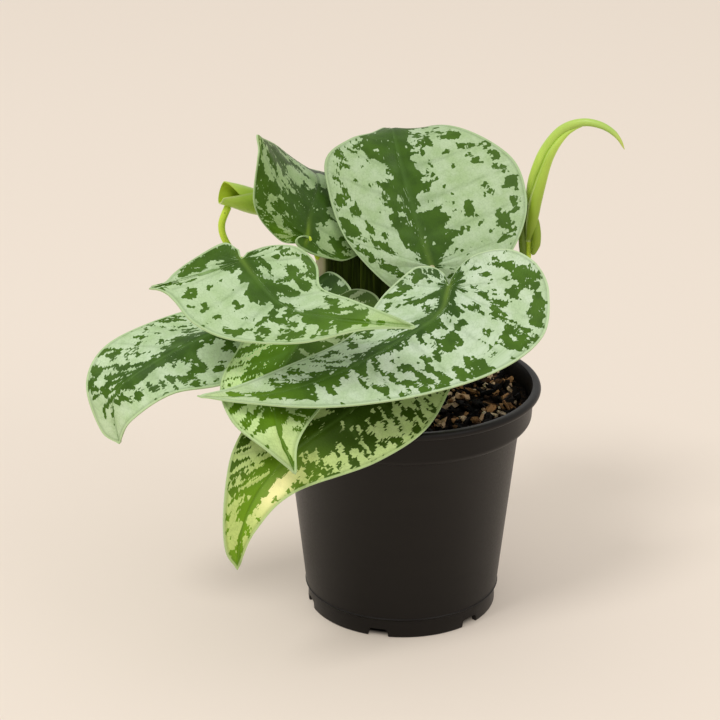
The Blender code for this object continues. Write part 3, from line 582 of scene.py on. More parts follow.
class Nodes:
    """A material being built. Inputs are sockets or plain values."""

    def __init__(self, name, **settings):
        self.material = bpy.data.materials.new(name)
        self.material.use_nodes = True
        self.tree = self.material.node_tree
        self.shader = self.tree.nodes["Principled BSDF"]
        for key, value in settings.items():
            self.out(key.replace("_", " "), value)

    def add(self, kind, inputs=None, **settings):
        node = self.tree.nodes.new(kind)
        for key, value in settings.items():
            setattr(node, key, value)
        for key, value in (inputs or {}).items():
            self.give(node.inputs[key], value)
        return node

    def give(self, socket, value):
        if isinstance(value, bpy.types.NodeSocket):
            self.tree.links.new(value, socket)
        else:
            socket.default_value = value

    def out(self, key, value):
        self.give(self.shader.inputs[key], value)

    def number(self, name):
        return self.add("ShaderNodeAttribute", attribute_name=name).outputs["Fac"]

    def vector(self, name):
        return self.add("ShaderNodeAttribute", attribute_name=name).outputs["Vector"]

    def place(self):
        return self.add("ShaderNodeTexCoord").outputs["Object"]

    def maths(self, operation, a, b):
        return self.add("ShaderNodeMath", {0: a, 1: b}, operation=operation).outputs[0]

    def times(self, a, b):
        return self.maths("MULTIPLY", a, b)

    def vectors(self, operation, a, b, output="Vector"):
        return self.add("ShaderNodeVectorMath", {0: a, 1: b}, operation=operation).outputs[output]

    def noise(self, vector, scale, detail=3.0, roughness=0.5):
        """Noise with one scale, or with a scale for each axis."""
        if isinstance(scale, tuple):
            vector, scale = self.vectors("MULTIPLY", vector, scale), 1.0
        inputs = {"Vector": vector, "Scale": scale, "Detail": detail, "Roughness": roughness}
        return self.add("ShaderNodeTexNoise", inputs).outputs["Fac"]

    def grains(self, chart, wide, long, detail=0.0):
        """Noise on a blade in grains of about the size given."""
        return self.noise(chart, (1 / wide, 1 / long, 1.0), detail)

    def cells(self, vector, scale=1.0, feature="F1", output="Distance"):
        inputs = {"Vector": vector, "Scale": scale}
        return self.add("ShaderNodeTexVoronoi", inputs, feature=feature).outputs[output]

    def steps(self, value, low, high, first=0.0, last=1.0):
        """From first, at low, smoothly to last, at high."""
        inputs = dict(enumerate((value, low, high, first, last)))
        return self.add("ShaderNodeMapRange", inputs, interpolation_type="SMOOTHSTEP").outputs[0]

    def mix(self, share, a, b, most=None):
        """Colour a turning into b by the share, or by "most" of it."""
        share = share if most is None else self.times(share, most)
        node = self.add("ShaderNodeMix", {0: share}, data_type="RGBA")
        for socket, value in ((node.inputs[6], a), (node.inputs[7], b)):
            self.give(socket, (*value, 1.0) if isinstance(value, tuple) else value)
        return node.outputs[2]

    def ramp(self, value, stops):
        node = self.add("ShaderNodeValToRGB", {"Fac": value})
        elements = node.color_ramp.elements
        while len(elements) < len(stops):
            elements.new(0.5)
        for element, (at, colour) in zip(elements, stops.items()):
            element.position = at
            element.color = (*colour, 1.0)
        return node.outputs["Color"]

    def bump(self, height, strength, distance=0.0001):
        node = self.add("ShaderNodeBump", {"Height": height, "Strength": strength, "Distance": distance})
        self.out("Normal", node.outputs[0])


DEEP_GREEN = (0.008, 0.020, 0.001)
DARK_GREEN = (0.024, 0.066, 0.006)
MID_GREEN = (0.042, 0.104, 0.008)
LIME_GREEN = (0.190, 0.380, 0.012)
JOINT_GREEN = (0.33, 0.47, 0.035)
SILVER = (0.400, 0.540, 0.310)
SILVER_PALE = (0.530, 0.650, 0.460)
SILVER_LIME = (0.560, 0.710, 0.280)
MARGIN = (0.480, 0.620, 0.340)
PALE_VEIN = (0.110, 0.210, 0.045)
CREAM = (1.000, 0.970, 0.600)
# The small cells that make the marks ragged, and the widths of the pale margin and of the darker line just
# inside it, which is painted shade
CELL = 0.0012
MARGIN_WIDTH = (0.0006, 0.0010)
BESIDE_WIDTH = (0.0008, 0.0022)
FINE = (2000.0, 2000.0, 1.0)


def blade_material():
    """Dark green with silver patches that run out along the veins, ragged where they meet the small veins."""
    m = Nodes("blade_face", Specular_IOR_Level=0.17)
    vein, chart = m.vector("vein"), m.vector("chart")
    lime, streaky = m.number("lime"), m.number("streaky")
    by_cell = m.vectors("MULTIPLY", chart, (1 / CELL, 1 / CELL, 1.0))
    off = m.vectors("SUBTRACT", m.cells(by_cell, output="Position"), by_cell)
    off = m.vectors("MULTIPLY", off, (CELL, CELL, 0.0))
    on_vein, on_chart = m.vectors("ADD", vein, off), m.vectors("ADD", chart, off)
    layers = (
        (m.grains(on_vein, 0.0032, 0.0090, 1.0), m.times(streaky, 3.6)),
        (m.grains(on_chart, 0.0046, 0.0046, 1.0), m.maths("SUBTRACT", 4.0, m.times(streaky, 2.8))),
        (m.grains(on_chart, 0.016, 0.016), 1.0),
        (m.grains(on_vein, 0.0015, 0.0036), 1.1),
    )
    field = m.number("silver")
    for value, amount in layers:
        field = m.maths("ADD", field, m.times(m.maths("SUBTRACT", value, 0.5), amount))
    dashes = m.steps(m.grains(on_vein, 0.0011, 0.0030), 0.76, 0.78)
    mask = m.maths("MAXIMUM", m.steps(field, -0.03, 0.03), dashes)

    tint = m.noise(chart, (160.0, 160.0, 1.0))
    green = m.mix(m.steps(tint, 0.35, 0.65), DARK_GREEN, MID_GREEN)
    green = m.mix(m.number("deep"), m.mix(lime, green, LIME_GREEN), DEEP_GREEN)
    silver = m.mix(lime, m.mix(m.steps(tint, 0.3, 0.7), SILVER, SILVER_PALE), SILVER_LIME)
    small_veins = m.cells(by_cell, feature="DISTANCE_TO_EDGE")
    mottle = m.steps(m.noise(chart, (700.0, 700.0, 1.0), 2.0), 0.35, 0.6)
    silver = m.mix(m.times(m.steps(small_veins, 0.0, 0.16, 1.0, 0.0), mottle), silver, MID_GREEN, 0.16)

    colour = m.mix(mask, green, silver)
    colour = m.mix(m.times(m.number("cream"), m.steps(mask, 0.0, 1.0, 0.08, 1.0)), colour, CREAM)
    colour = m.mix(m.number("vein_line"), colour, m.mix(mask, PALE_VEIN, MID_GREEN), 0.34)
    colour = m.mix(m.number("glow"), colour, JOINT_GREEN)
    # Painted shade: a darker line just inside the pale margin.
    colour = m.mix(m.steps(m.number("edge"), *BESIDE_WIDTH, 1.0, 0.0), colour, MID_GREEN, 0.30)
    colour = m.mix(m.steps(m.number("edge"), *MARGIN_WIDTH, 1.0, 0.0), colour, MARGIN, 0.85)
    # Each leaf's tone, partly its own and partly painted light and shade, multiplies the colour.
    m.out("Base Color", m.vectors("MULTIPLY", colour, m.vector("tone_and_painted_light")))
    grain = m.noise(chart, FINE, 2.0)
    m.bump(m.maths("ADD", m.times(grain, 0.5), m.steps(small_veins, 0.0, 0.3)), 0.3)
    m.out("Roughness", m.steps(grain, 0.2, 0.8, 0.40, 0.54))
    return m.material


def under_material():
    """Paler and plainer than the upper side, with light veins."""
    m = Nodes("blade_underside", Roughness=0.5)
    vein = m.vector("vein")
    green = m.mix(m.noise(vein, (200.0, 90.0, 1.0)), (0.17, 0.31, 0.10), (0.27, 0.43, 0.17))
    green = m.mix(m.number("vein_line"), green, (0.36, 0.50, 0.20), 0.5)
    m.out("Base Color", m.mix(m.number("lime"), green, (0.35, 0.52, 0.10), 0.6))
    m.bump(m.noise(vein, (2000.0, 1500.0, 1.0), 2.0), 0.3)
    return m.material


def rim_material():
    m = Nodes("blade_rim", Roughness=0.45)
    m.out("Base Color", m.mix(m.noise(m.place(), 160.0, 2.0), (0.34, 0.50, 0.20), (0.50, 0.64, 0.36)))
    return m.material


def stem_material():
    """Olive where a stalk leaves the soil, bright yellow-green further out, with small dark freckles, and
    painted shade on the faces of the sheaths that lie in shade.
    """
    m = Nodes("stem_skin", Roughness=0.4)
    place, dark = m.place(), m.number("dark")
    base = m.ramp(
        m.number("along"), {0.0: (0.16, 0.15, 0.05), 0.25: (0.21, 0.26, 0.05), 0.7: (0.60, 0.78, 0.045)}
    )
    colour = m.mix(m.noise(place, (400.0, 400.0, 90.0)), base, (0.34, 0.47, 0.05), 0.4)
    freckle = m.steps(m.cells(place, 260.0), 0.10, 0.16, 1.0, 0.0)
    rare = m.steps(m.noise(place, 130.0, 1.0), 0.52, 0.60)
    colour = m.mix(m.times(freckle, rare), colour, (0.07, 0.08, 0.02), 0.6)
    stripes = m.steps(m.noise(place, (900.0, 900.0, 60.0), 2.0), 0.35, 0.65)
    # Painted shade: near black with faint stripes where the sheaths lie in shade.
    colour = m.mix(dark, colour, m.mix(stripes, (0.006, 0.012, 0.001), (0.020, 0.036, 0.003)))
    # Pale dry colour; on the dry sheath's lit side it is partly painted light.
    m.out("Base Color", m.mix(m.number("dry"), colour, (0.50, 0.45, 0.30)))
    # Less reflection in the painted shade.
    m.out("Specular IOR Level", m.steps(dark, 0.0, 1.0, 0.4, 0.03))
    m.bump(m.noise(place, (1500.0, 1500.0, 250.0), 2.0), 0.25)
    return m.material


def young_material():
    """Lime green, paler along the rolled margin and yellow at the tip."""
    m = Nodes("young_leaf_skin", Roughness=0.34, Specular_IOR_Level=0.35)
    tint = m.noise(m.place(), (500.0, 500.0, 120.0))
    # The pale lime at the middle of the ramp is partly painted highlight.
    base = m.ramp(m.number("along"), {
        0.0: (0.10, 0.15, 0.002), 0.22: (0.29, 0.41, 0.015), 0.5: (0.58, 0.78, 0.12),
        0.9: (0.43, 0.60, 0.13), 1.0: (0.62, 0.64, 0.14),
    })
    colour = m.mix(tint, base, (0.28, 0.46, 0.08), 0.35)
    colour = m.mix(m.number("margin"), colour, (0.56, 0.66, 0.24))
    m.out("Base Color", m.mix(m.number("inside"), colour, (0.42, 0.56, 0.03)))
    m.bump(tint, 0.2)
    return m.material


def pot_material():
    """Near black plastic with a fine grain and faint rings from its mould."""
    m = Nodes("pot_plastic", Specular_IOR_Level=0.20)
    place = m.place()
    tint = m.noise(place, (40.0, 40.0, 160.0))
    m.out("Base Color", m.mix(tint, (0.0044, 0.0032, 0.0023), (0.0074, 0.0056, 0.0041)))
    m.out("Roughness", m.steps(m.noise(place, 1200.0, 2.0), 0.25, 0.75, 0.36, 0.42))
    rings = m.noise(place, (6.0, 6.0, 900.0), 2.0)
    m.bump(m.maths("ADD", m.noise(place, 3000.0, 2.0), m.times(rings, 0.7)), 0.08)
    return m.material


def soil_material():
    m = Nodes("potting_mix", Roughness=0.9, Specular_IOR_Level=0.08)
    place = m.place()
    m.out("Base Color", m.ramp(
        m.noise(place, 420.0, 4.0, 0.6),
        {0.3: (0.0015, 0.001, 0.001), 0.5: (0.005, 0.003, 0.002), 0.7: (0.040, 0.022, 0.013)},
    ))
    m.bump(m.noise(place, 900.0, 4.0, 0.65), 0.9, 0.0006)
    return m.material


def bark_material():
    """Most chips nearly black, some brown and a few tan, with a grain along each."""
    m = Nodes("bark", Roughness=0.65, Specular_IOR_Level=0.07)
    base = m.ramp(m.number("kind"), {
        0.0: (0.001, 0.001, 0.001), 0.54: (0.004, 0.0025, 0.0015), 0.70: (0.050, 0.023, 0.009),
        0.84: (0.42, 0.225, 0.095), 1.0: (1.0, 0.84, 0.60),
    })
    grain = m.noise(m.vector("grain"), (260.0, 1500.0, 1500.0), 3.0, 0.6)
    m.out("Base Color", m.mix(m.steps(grain, 0.45, 0.80), base, (0.006, 0.004, 0.003)))
    m.bump(grain, 0.7, 0.0004)
    return m.material


# Leaves


def margin_of(leaf, side):
    return np.vstack([leaf[side], leaf["midrib"][-1:]])


def half_blade(leaf, side, round_margin, out):
    """Places on one half and the way its upper side looks. Then, for the vein through each place, its
    length, the share of the midrib where it starts, and how much it leans along the midrib."""
    root_share = rise(round_margin, FAN, 1) ** VEIN_RUN
    root, ahead, behind = (
        on_rail(leaf["midrib"], np.clip(root_share + step, 0, 1)) for step in (0, 0.03, -0.03)
    )
    vein = on_rail(margin_of(leaf, side), round_margin) - root
    way, out_way = unit(ahead - behind), unit(vein)
    up = -unit(np.cross(way, out_way)) * SIDES[side]
    near, far = leaf["bulge"]
    bulge = (near + (far - near) * round_margin) * np.sin(np.pi * round_margin) ** 0.3
    length = np.linalg.norm(vein, axis=-1)
    lift = length * bulge * 4 * out * (1 - out)
    places = root + vein * out[..., None] - up * lift[..., None]
    return places, up, length, root_share, (way * out_way).sum(-1)


def joint_of(leaf):
    """The joint, and the way the upper face looks there."""
    round_margin, out = np.array([0.25]), np.array([0.15])
    left, right = (half_blade(leaf, side, round_margin, out)[0][0] for side in SIDES)
    joint, ahead = on_rail(leaf["midrib"], np.array([0.0, 0.06]))
    return joint, unit(np.cross(unit(right - left), unit(ahead - joint)))


def spots_at(groups, side, w, out, length, margin_length):
    """The sum of one half's soft spots at each place."""
    total = np.zeros_like(w)
    for (spot_side, amount), spots in groups.items():
        for at_w, at_out, size in spots if spot_side == side else ():
            round_way = (w - at_w / 100) * margin_length * max(at_out / 100, 0.3)
            total += amount * fall(np.hypot(round_way, (out - at_out / 100) * length), size / 1000)
    return total


def marks_at(marks, spots, root_share, w, near_midrib, near_margin, teeth):
    """Numbers at each place of one half: silver, lime, cream, deep green, the glow at the joint, the tone with
    its painted light and shade.
    """
    band = evenly(marks["band"], root_share) * teeth
    silver = marks["silver"] - BAND_DEPTH * fall(near_midrib, band)
    silver = silver - marks["fringe"] * fall(near_margin - FRINGE_AT, FRINGE_REACH)
    along = np.maximum(root_share, w * 0.6)
    lime = evenly(marks["lime"], along) + 0.12 * rise(near_midrib, 0, 0.02)
    from_joint = np.where(w > FAN, root_share, 0.0)
    return {
        "silver": silver + spots["patches"] + marks["tip"] * rise(w, TIP_FROM, TIP_FULL),
        "lime": np.clip(lime + spots["bright"], 0, 1),
        "cream": np.clip(spots["cream"], 0, 1),
        "deep": evenly(marks["deep"], along),
        "glow": marks["glow"] * fall(near_midrib, GLOW_WIDTH) * fall(from_joint, GLOW_SHARE),
        # The painted shade spots darken the tone, and those below 0 are painted light.
        "tone_and_painted_light": np.outer(1 - np.clip(spots["shades"], -1.6, 0.95), marks["tone_and_painted_light"]),
    }


def blade(name, leaf, marks, number, materials):
    """The blade as a fine grid with its veins sunk and the fields between them swelling a little."""
    rows, columns = ALONG + 1, ACROSS + 1
    outwards = 1 - (1 - np.linspace(0, 1, columns)) ** CROWDING
    w, out = (grid.ravel() for grid in np.meshgrid(np.linspace(0, 1, rows), outwards, indexing="ij"))
    midrib_length = length_of(leaf["midrib"])
    halves = {}
    for side, sign in SIDES.items():
        places, up, length, root_share, lean = half_blade(leaf, side, w, out)
        margin_length = length_of(margin_of(leaf, side))
        from_midrib, from_margin = out * length, (1 - out) * length
        phase = w * VEINS + VEIN_BEND * out
        fade = rise(np.minimum(from_midrib, from_margin), 0, QUILT_EDGE) * rise(length, 0, SHORT_HALF)
        groove = GROOVE * fall(from_midrib, GROOVE_REACH) * rise(root_share, 0, GROOVE_START)
        lift = -QUILT * np.cos(2 * np.pi * phase) * fade - groove
        knots = np.random.default_rng(10 * number + sign + 1).uniform(*TEETH, TOOTH_COUNT)
        teeth = np.interp(w * margin_length / TOOTH_WIDTH, np.arange(TOOTH_COUNT), knots)
        across = np.sqrt(np.clip(1 - lean**2, 0, 1)) * from_midrib
        spots = {
            key: spots_at(marks.get(key, {}), side, w, out, length, margin_length)
            for key in ("patches", "bright", "cream", "shades")
        }
        from_vein = np.abs(phase - np.rint(phase)) * margin_length / VEINS * np.maximum(out, 0.15)
        line = np.maximum(0.7 * fall(from_vein, VEIN_REACH) * fade, fall(from_midrib, VEIN_REACH))
        vein_seed = number * LEAF_SEED + (LEFT_SEED if side == "left" else 0.0)
        along = root_share * midrib_length + lean * from_midrib
        # How far apart the veins are at each place, against the margin, says how far streaks run.
        at_root = np.where(w > FAN, VEIN_RUN / (1 - FAN) * midrib_length / margin_length, 0.0)
        spread = np.clip(at_root + (1 - at_root) * out, 0, 1)
        halves[side] = {
            **marks_at(marks, spots, root_share, w, across, from_margin, teeth),
            "places": places + up * lift[:, None],
            "vein": np.stack(np.broadcast_arrays(w * margin_length, from_midrib, vein_seed), -1),
            "chart": np.stack(np.broadcast_arrays(along, sign * across, number * LEAF_SEED), -1),
            "edge": np.minimum(from_margin, w * margin_length * np.maximum(out, 0.2)),
            "vein_line": line,
            "streaky": rise(spread, 0.1, 0.5) * marks["streaky"],
        }

    def both(key):
        left, right = (halves[side][key].reshape(rows, columns, -1) for side in SIDES)
        whole = np.concatenate([left[:, :0:-1], right], axis=1)
        return whole.reshape(-1, *halves["left"][key].shape[1:])

    numbers = {key: both(key) for key in halves["left"] if key != "places"}
    faces = grid_faces(rows, 2 * ACROSS + 1)
    obj = new_mesh("blade_of_" + name, both("places"), faces, numbers, *materials)
    edit(obj, lambda bm: bmesh.ops.remove_doubles(bm, verts=bm.verts, dist=SAME_PLACE))
    solid = obj.modifiers.new("thickness", "SOLIDIFY")
    solid.thickness = BLADE
    solid.offset = -1.0
    solid.material_offset = 1
    solid.material_offset_rim = 2
    apply_modifiers(obj)
    sharpen(obj, 60)
    place_piece(obj, "leaf", name)


def build_rib(name, leaf, material):
    """The midrib stands proud of the blade's lower side."""
    share = np.linspace(RIB_SHARE[0], RIB_SHARE[-1], 47)
    round_margin = FAN + (1 - FAN) * np.maximum(share, 0.02) ** (1 / VEIN_RUN)
    ups = [half_blade(leaf, side, round_margin, np.full_like(share, 0.1))[1] for side in SIDES]
    radii = np.interp(share, RIB_SHARE, RIB_RADII)
    down = -unit(ups[0] + ups[1]) * (GROOVE + BLADE * 0.8 + radii * 0.6)[:, None]
    route = on_rail(leaf["midrib"], share) + down
    points, faces, _ = swept(route[::2], radii[::2], (70, 12))
    vein = points * (1, 1, 0) + (0, 0, 50)
    parts = [(points, faces, {"vein": vein, "vein_line": 0.9, "lime": 0.2})]
    place_piece(joined("midrib_of_" + name, parts, material), "leaf")


def build_leaves():
    materials = [blade_material(), under_material(), rim_material()]
    for number, (name, leaf) in enumerate(LEAVES.items()):
        blade(name, leaf, MARKS[name], number, materials)
        build_rib(name, leaf, materials[1])


# Stems


def build_vines():
    material = stem_material()
    for name, vine in VINES.items():
        points, faces, along = swept(vine["stem"], STEM_RADII, STEM_GRID)
        parts = [(points, faces, {"along": along * 0.2, "dark": 0.0, "dry": 0.0})]
        for route, radius, dry in vine.get("sheaths", ()):
            points, faces, along = swept(route, radius * SHEATH_FORM, SHEATH_GRID, SHEATH_FLAT)
            # Painted shade: the face towards the camera is darkened for the deep shade it lies in, and the
            # back less so. The dry sheath's left side, which catches the light, gets no painted shade but the
            # pale dry colour, partly its own and partly painted light.
            steps, sides = SHEATH_GRID
            behind = np.tile(np.clip(0.5 + np.sin(np.arange(sides) / sides * 2 * np.pi), 0, 1), steps)
            dry = dry * rise(route[2][0] - points[:, 0], -radius / 6, radius / 6)
            dark = (0.97 - 0.75 * behind) * (1 - dry)
            parts.append((points, faces, {"along": 0.1 + along * 0.3, "dark": dark, "dry": dry}))
        for leaf_name, route in vine["stalks"].items():
            route = list(route)
            pierces = leaf_name == "leaf_upper"
            if leaf_name in LEAVES:
                joint, face = joint_of(LEAVES[leaf_name])
                route.append(joint + face * (BLADE if pierces else -BLADE))
            points, faces, along = swept(route, STALK_RADII, STALK_GRID)
            pale = rise(along, 0.97, 0.99) * pierces
            parts.append((points, faces, {"along": 0.1 + along * 0.9, "dark": 0.0, "dry": pale}))
        place_piece(joined("stems_of_" + name, parts, material), "stem", name)


# Rolled young leaves


ROLL_STEPS = 120
ROLL_SIDES = 72
ROLL_PITCH = 0.2
ROLL_SETTLES = 0.4
ROLL_THICK = 0.0005
ROLL_LEAST_R = 0.00012
ROLL_TIP = 0.03
ROLL_RIM = 0.0006
TUCK_DEPTH = 0.16
TUCK_REACH = 0.35


def roll(rolled):
    """A sheet wound round the route, its outer margin tucked in against the turn under it."""
    share = np.linspace(0, 1, ROLL_STEPS)
    places = on_rail(rolled["route"], share)
    seam, beside = ways_across(places, rolled["seam"])
    radius = evenly(rolled["radii"], share) * rise(1 - share, 0, ROLL_TIP) ** 0.5
    radius = np.maximum(radius, ROLL_LEAST_R)
    settled = rise(share, 0, ROLL_SETTLES)
    first, last = (evenly(rolled[key], settled)[:, None] for key in ("first", "last"))
    turn = first + (last - first) * np.linspace(0, 1, ROLL_SIDES)
    from_margin = (turn - first) * 2 * np.pi
    tuck = 1 - TUCK_DEPTH * fall(from_margin, TUCK_REACH) * settled[:, None]
    size = radius[:, None] * (1 + ROLL_PITCH / 2 - ROLL_PITCH * turn) * tuck
    angle = turn[..., None] * 2 * np.pi
    around = seam[:, None] * np.cos(angle) + beside[:, None] * np.sin(angle)
    thick = np.minimum(ROLL_THICK, radius * 0.13)[:, None]
    points = [(places[:, None] + around * far[..., None]).reshape(-1, 3) for far in (size, size - thick)]
    count = ROLL_STEPS * ROLL_SIDES
    faces = grid_faces(ROLL_STEPS, ROLL_SIDES)
    faces += grid_faces(ROLL_STEPS, ROLL_SIDES, start=count, flip=True)
    last_row = count - ROLL_SIDES
    rims = (
        (range(0, last_row, ROLL_SIDES), ROLL_SIDES, 1),
        (range(ROLL_SIDES - 1, last_row, ROLL_SIDES), ROLL_SIDES, -1),
        (range(ROLL_SIDES - 1), 1, 1),
        (range(last_row, count - 1), 1, -1),
    )
    for starts, step, order in rims:
        faces += [(a, a + step, a + step + count, a + count)[::order] for a in starts]
    from_end = np.minimum(share * length_of(rolled["route"]) / ROLL_RIM, 9)
    margin = np.maximum(fall(from_margin, 0.12), fall(from_end, 1)[:, None])
    return np.vstack(points), faces, {
        "along": np.tile(np.repeat(evenly(rolled["bright"], share), ROLL_SIDES), 2),
        "margin": np.tile(margin.ravel(), 2),
        "inside": np.repeat((0.0, 1.0), count),
    }


def build_young_leaves():
    material = young_material()
    for name, rolled in ROLLED.items():
        parts = [roll(one) for one in rolled["rolls"]]
        for route, radii, bright in rolled.get("lobes", ()):
            points, faces, _ = swept(route, radii, (40, 24), flat=0.6)
            parts.append((points, faces, {"along": bright, "margin": 0.0, "inside": 0.0}))
        obj = joined("sheet_of_" + name, parts, material)
        sharpen(obj, 50)
        place_piece(obj, "young_leaf", name)


# Pot and soil


def arc(centre, radius, first, last, steps):
    angles = [math.radians(first + (last - first) * k / steps) for k in range(steps + 1)]
    return [(centre[0] + radius * math.cos(a), centre[1] + radius * math.sin(a)) for a in angles]


# The floor and the inside of the wall in the pot's profile, which the soil follows
INSIDE_POINTS = 8


def pot_profile():
    """The pot's section as (radius, height), from the middle of its floor over the rim to under it."""
    floor = FLOOR_Z + WALL
    inside = [
        (0.0, floor), (FOOT_R - WALL, floor), (BODY_FOOT_R - WALL, STEP_Z + WALL),
        (BODY_TOP_R - WALL, BAND_FOOT - WALL / 2), (BAND_R - BAND_CORNER, BAND_FOOT + WALL),
        (BAND_R - WALL, BAND_FOOT + BAND_CORNER), (RIM_R - LIP_WIDTH - WALL / 2, RIM_TOP - LIP_HEIGHT),
        (RIM_R - LIP_WIDTH, RIM_TOP - LIP_HEIGHT / 3),
    ]
    lip = LIP_HEIGHT / 2
    outside = [
        (RIM_R - LIP_WIDTH + WALL / 4, RIM_TOP - WALL / 8), (RIM_R - LIP_WIDTH + WALL / 2, RIM_TOP),
        *arc((RIM_R - lip, RIM_TOP - lip), lip, 90, -60, 14),
        (BAND_R + WALL / 2, RIM_TOP - LIP_HEIGHT), (BAND_R + WALL / 3, RIM_TOP - LIP_HEIGHT - WALL),
        *arc((BAND_R - BAND_CORNER, BAND_FOOT + BAND_CORNER), BAND_CORNER, 0, -75, 10),
        (BODY_TOP_R + 0.0004, BAND_FOOT), (BODY_TOP_R, BAND_FOOT - 0.0006),
        (BODY_FOOT_R + 0.0001, STEP_Z + 0.0010), (BODY_FOOT_R + 0.0004, STEP_Z + 0.0006),
        (BODY_FOOT_R - 0.0002, STEP_Z),
        (FOOT_R, STEP_Z - WALL / 2), (FOOT_R, WALL / 2), (FOOT_R - WALL / 5, WALL / 7),
        (FOOT_R - WALL / 2, 0.0), (FOOT_R - FOOT_RING, 0.0), (FOOT_R - FOOT_RING - WALL / 2, FLOOR_Z),
        (0.0, FLOOR_Z),
    ]
    return inside + outside


def fan(middle, start, sides):
    """Triangles between a point and a ring of points."""
    return [(middle, start + k, start + (k + 1) % sides) for k in range(sides)]


def turned(profile, sides):
    """A profile of (radius, height) points swept round the pot's axis, its first and last on the axis."""
    points = [(0.0, 0.0, profile[0][1])]
    rows = profile[1:-1]
    for radius, height in rows:
        points += [(*polar(radius, 2 * math.pi * k / sides), height) for k in range(sides)]
    points.append((0.0, 0.0, profile[-1][1]))
    end = len(points) - 1
    faces = fan(0, 1, sides) + grid_faces(len(rows), sides, ring=True, start=1, flip=True)
    return points, faces + [face[::-1] for face in fan(end, end - sides, sides)]


def cutter(name, bm, radius, angle, height):
    """A tool for cutting the pot, moved to its place round the axis."""
    bmesh.ops.translate(bm, verts=bm.verts, vec=(*polar(radius, angle), height))
    bmesh.ops.translate(bm, verts=bm.verts, vec=POT_AXIS)
    mesh = bpy.data.meshes.new(name)
    bm.to_mesh(mesh)
    bm.free()
    return bpy.data.objects.new(name, mesh)


def notch(k):
    bm = bmesh.new()
    bmesh.ops.create_cube(bm, size=1.0)
    for vertex in bm.verts:
        width = NOTCH_TOP_WIDTH if vertex.co.z > 0 else NOTCH_WIDTH
        vertex.co = (vertex.co.x * 4 * FOOT_RING, vertex.co.y * width, vertex.co.z * 2 * NOTCH_HEIGHT)
    across = [e for e in bm.edges if abs(e.verts[0].co.x - e.verts[1].co.x) > WALL]
    top = [e for e in across if e.verts[0].co.z > 0]
    bmesh.ops.bevel(bm, geom=top, offset=WALL, segments=6, affect="EDGES", profile=0.5)
    angle = NOTCH_FIRST + k * 2 * math.pi / NOTCHES
    bmesh.ops.rotate(bm, verts=bm.verts, matrix=Euler((0, 0, angle)).to_matrix())
    return cutter(f"notch_{k}", bm, FOOT_R, angle, 0.0)


def drain(k):
    bm = bmesh.new()
    bmesh.ops.create_cone(
        bm, cap_ends=True, segments=40, radius1=DRAIN_R, radius2=DRAIN_R, depth=3 * FLOOR_Z
    )
    angle = NOTCH_FIRST + (k + 0.5) * 2 * math.pi / NOTCHES
    return cutter(f"drain_{k}", bm, DRAIN_RING_R, angle, FLOOR_Z)


def build_pot():
    points, faces = turned(pot_profile(), POT_SIDES)
    obj = new_mesh("pot_shell", points, faces, {}, pot_material())
    edit(obj, lambda bm: bmesh.ops.recalc_face_normals(bm, faces=bm.faces))
    cutters = bpy.data.collections.new("cutters")
    for k in range(NOTCHES):
        cutters.objects.link(notch(k))
        cutters.objects.link(drain(k))
    cut = obj.modifiers.new("cuts", "BOOLEAN")
    cut.operation = "DIFFERENCE"
    cut.operand_type = "COLLECTION"
    cut.collection = cutters
    cut.solver = "EXACT"
    apply_modifiers(obj)
    for tool in list(cutters.objects):
        bpy.data.objects.remove(tool, do_unlink=True)
    bpy.data.collections.remove(cutters)
    sharpen(obj, 38)
    place_piece(obj, "pot", "pot")


SOIL_RINGS = 60
SOIL_SIDES = 180
SOIL_GAP = 0.0003
SOIL_BUMPS = 0.0014
SOIL_CRUMBS = 0.0006
CHIPS = 640
CHIP_LENGTH = (0.0025, 0.0075)
CHIP_WIDTH = (0.0010, 0.0030)
CHIP_HEIGHT = (0.0008, 0.0024)
CHIP_WOBBLE = 0.32
CHIP_TURN = ((-0.8, 0.8), (-0.7, 0.7), (0, 2 * math.pi))
CRUMBS = 1100
CRUMB_SIZE = (0.0008, 0.0024)
SEED = 5


def soil_height(x, y):
    bumps = sum(noise.noise(Vector((x, y, 1 / pitch)) * pitch) for pitch in (90, 210))
    fade = max(0.0, 1 - (math.hypot(x, y) / BODY_TOP_R) ** 4)
    return SOIL_TOP + SOIL_BUMPS * bumps * fade


def build_soil_bed():
    """A top of fine crumbs, and under it a plain body that follows the inside of the pot."""
    points = [(0.0, 0.0, SOIL_TOP)]
    turns = [2 * math.pi * j / SOIL_SIDES for j in range(SOIL_SIDES)]
    for k in range(1, SOIL_RINGS + 1):
        for angle in turns:
            x, y = polar((BAND_R - WALL - SOIL_GAP) * k / SOIL_RINGS, angle)
            crumb = noise.noise(Vector((x, y, 0.0)) * 700) + 0.5 * noise.noise(Vector((x, y, 0.3)) * 1500)
            points.append((x, y, soil_height(x, y) + SOIL_CRUMBS * crumb))
    for radius, height in pot_profile()[1:INSIDE_POINTS][::-1]:
        if height < SOIL_TOP:
            points += [(*polar(radius - SOIL_GAP, angle), height + SOIL_GAP) for angle in turns]
    rows = (len(points) - 1) // SOIL_SIDES
    faces = fan(0, 1, SOIL_SIDES) + grid_faces(rows, SOIL_SIDES, ring=True, start=1, flip=True)
    faces.append(tuple(range(len(points) - SOIL_SIDES, len(points)))[::-1])
    place_piece(new_mesh("soil_bed", points, faces, {}, soil_material()), "soil", "soil")


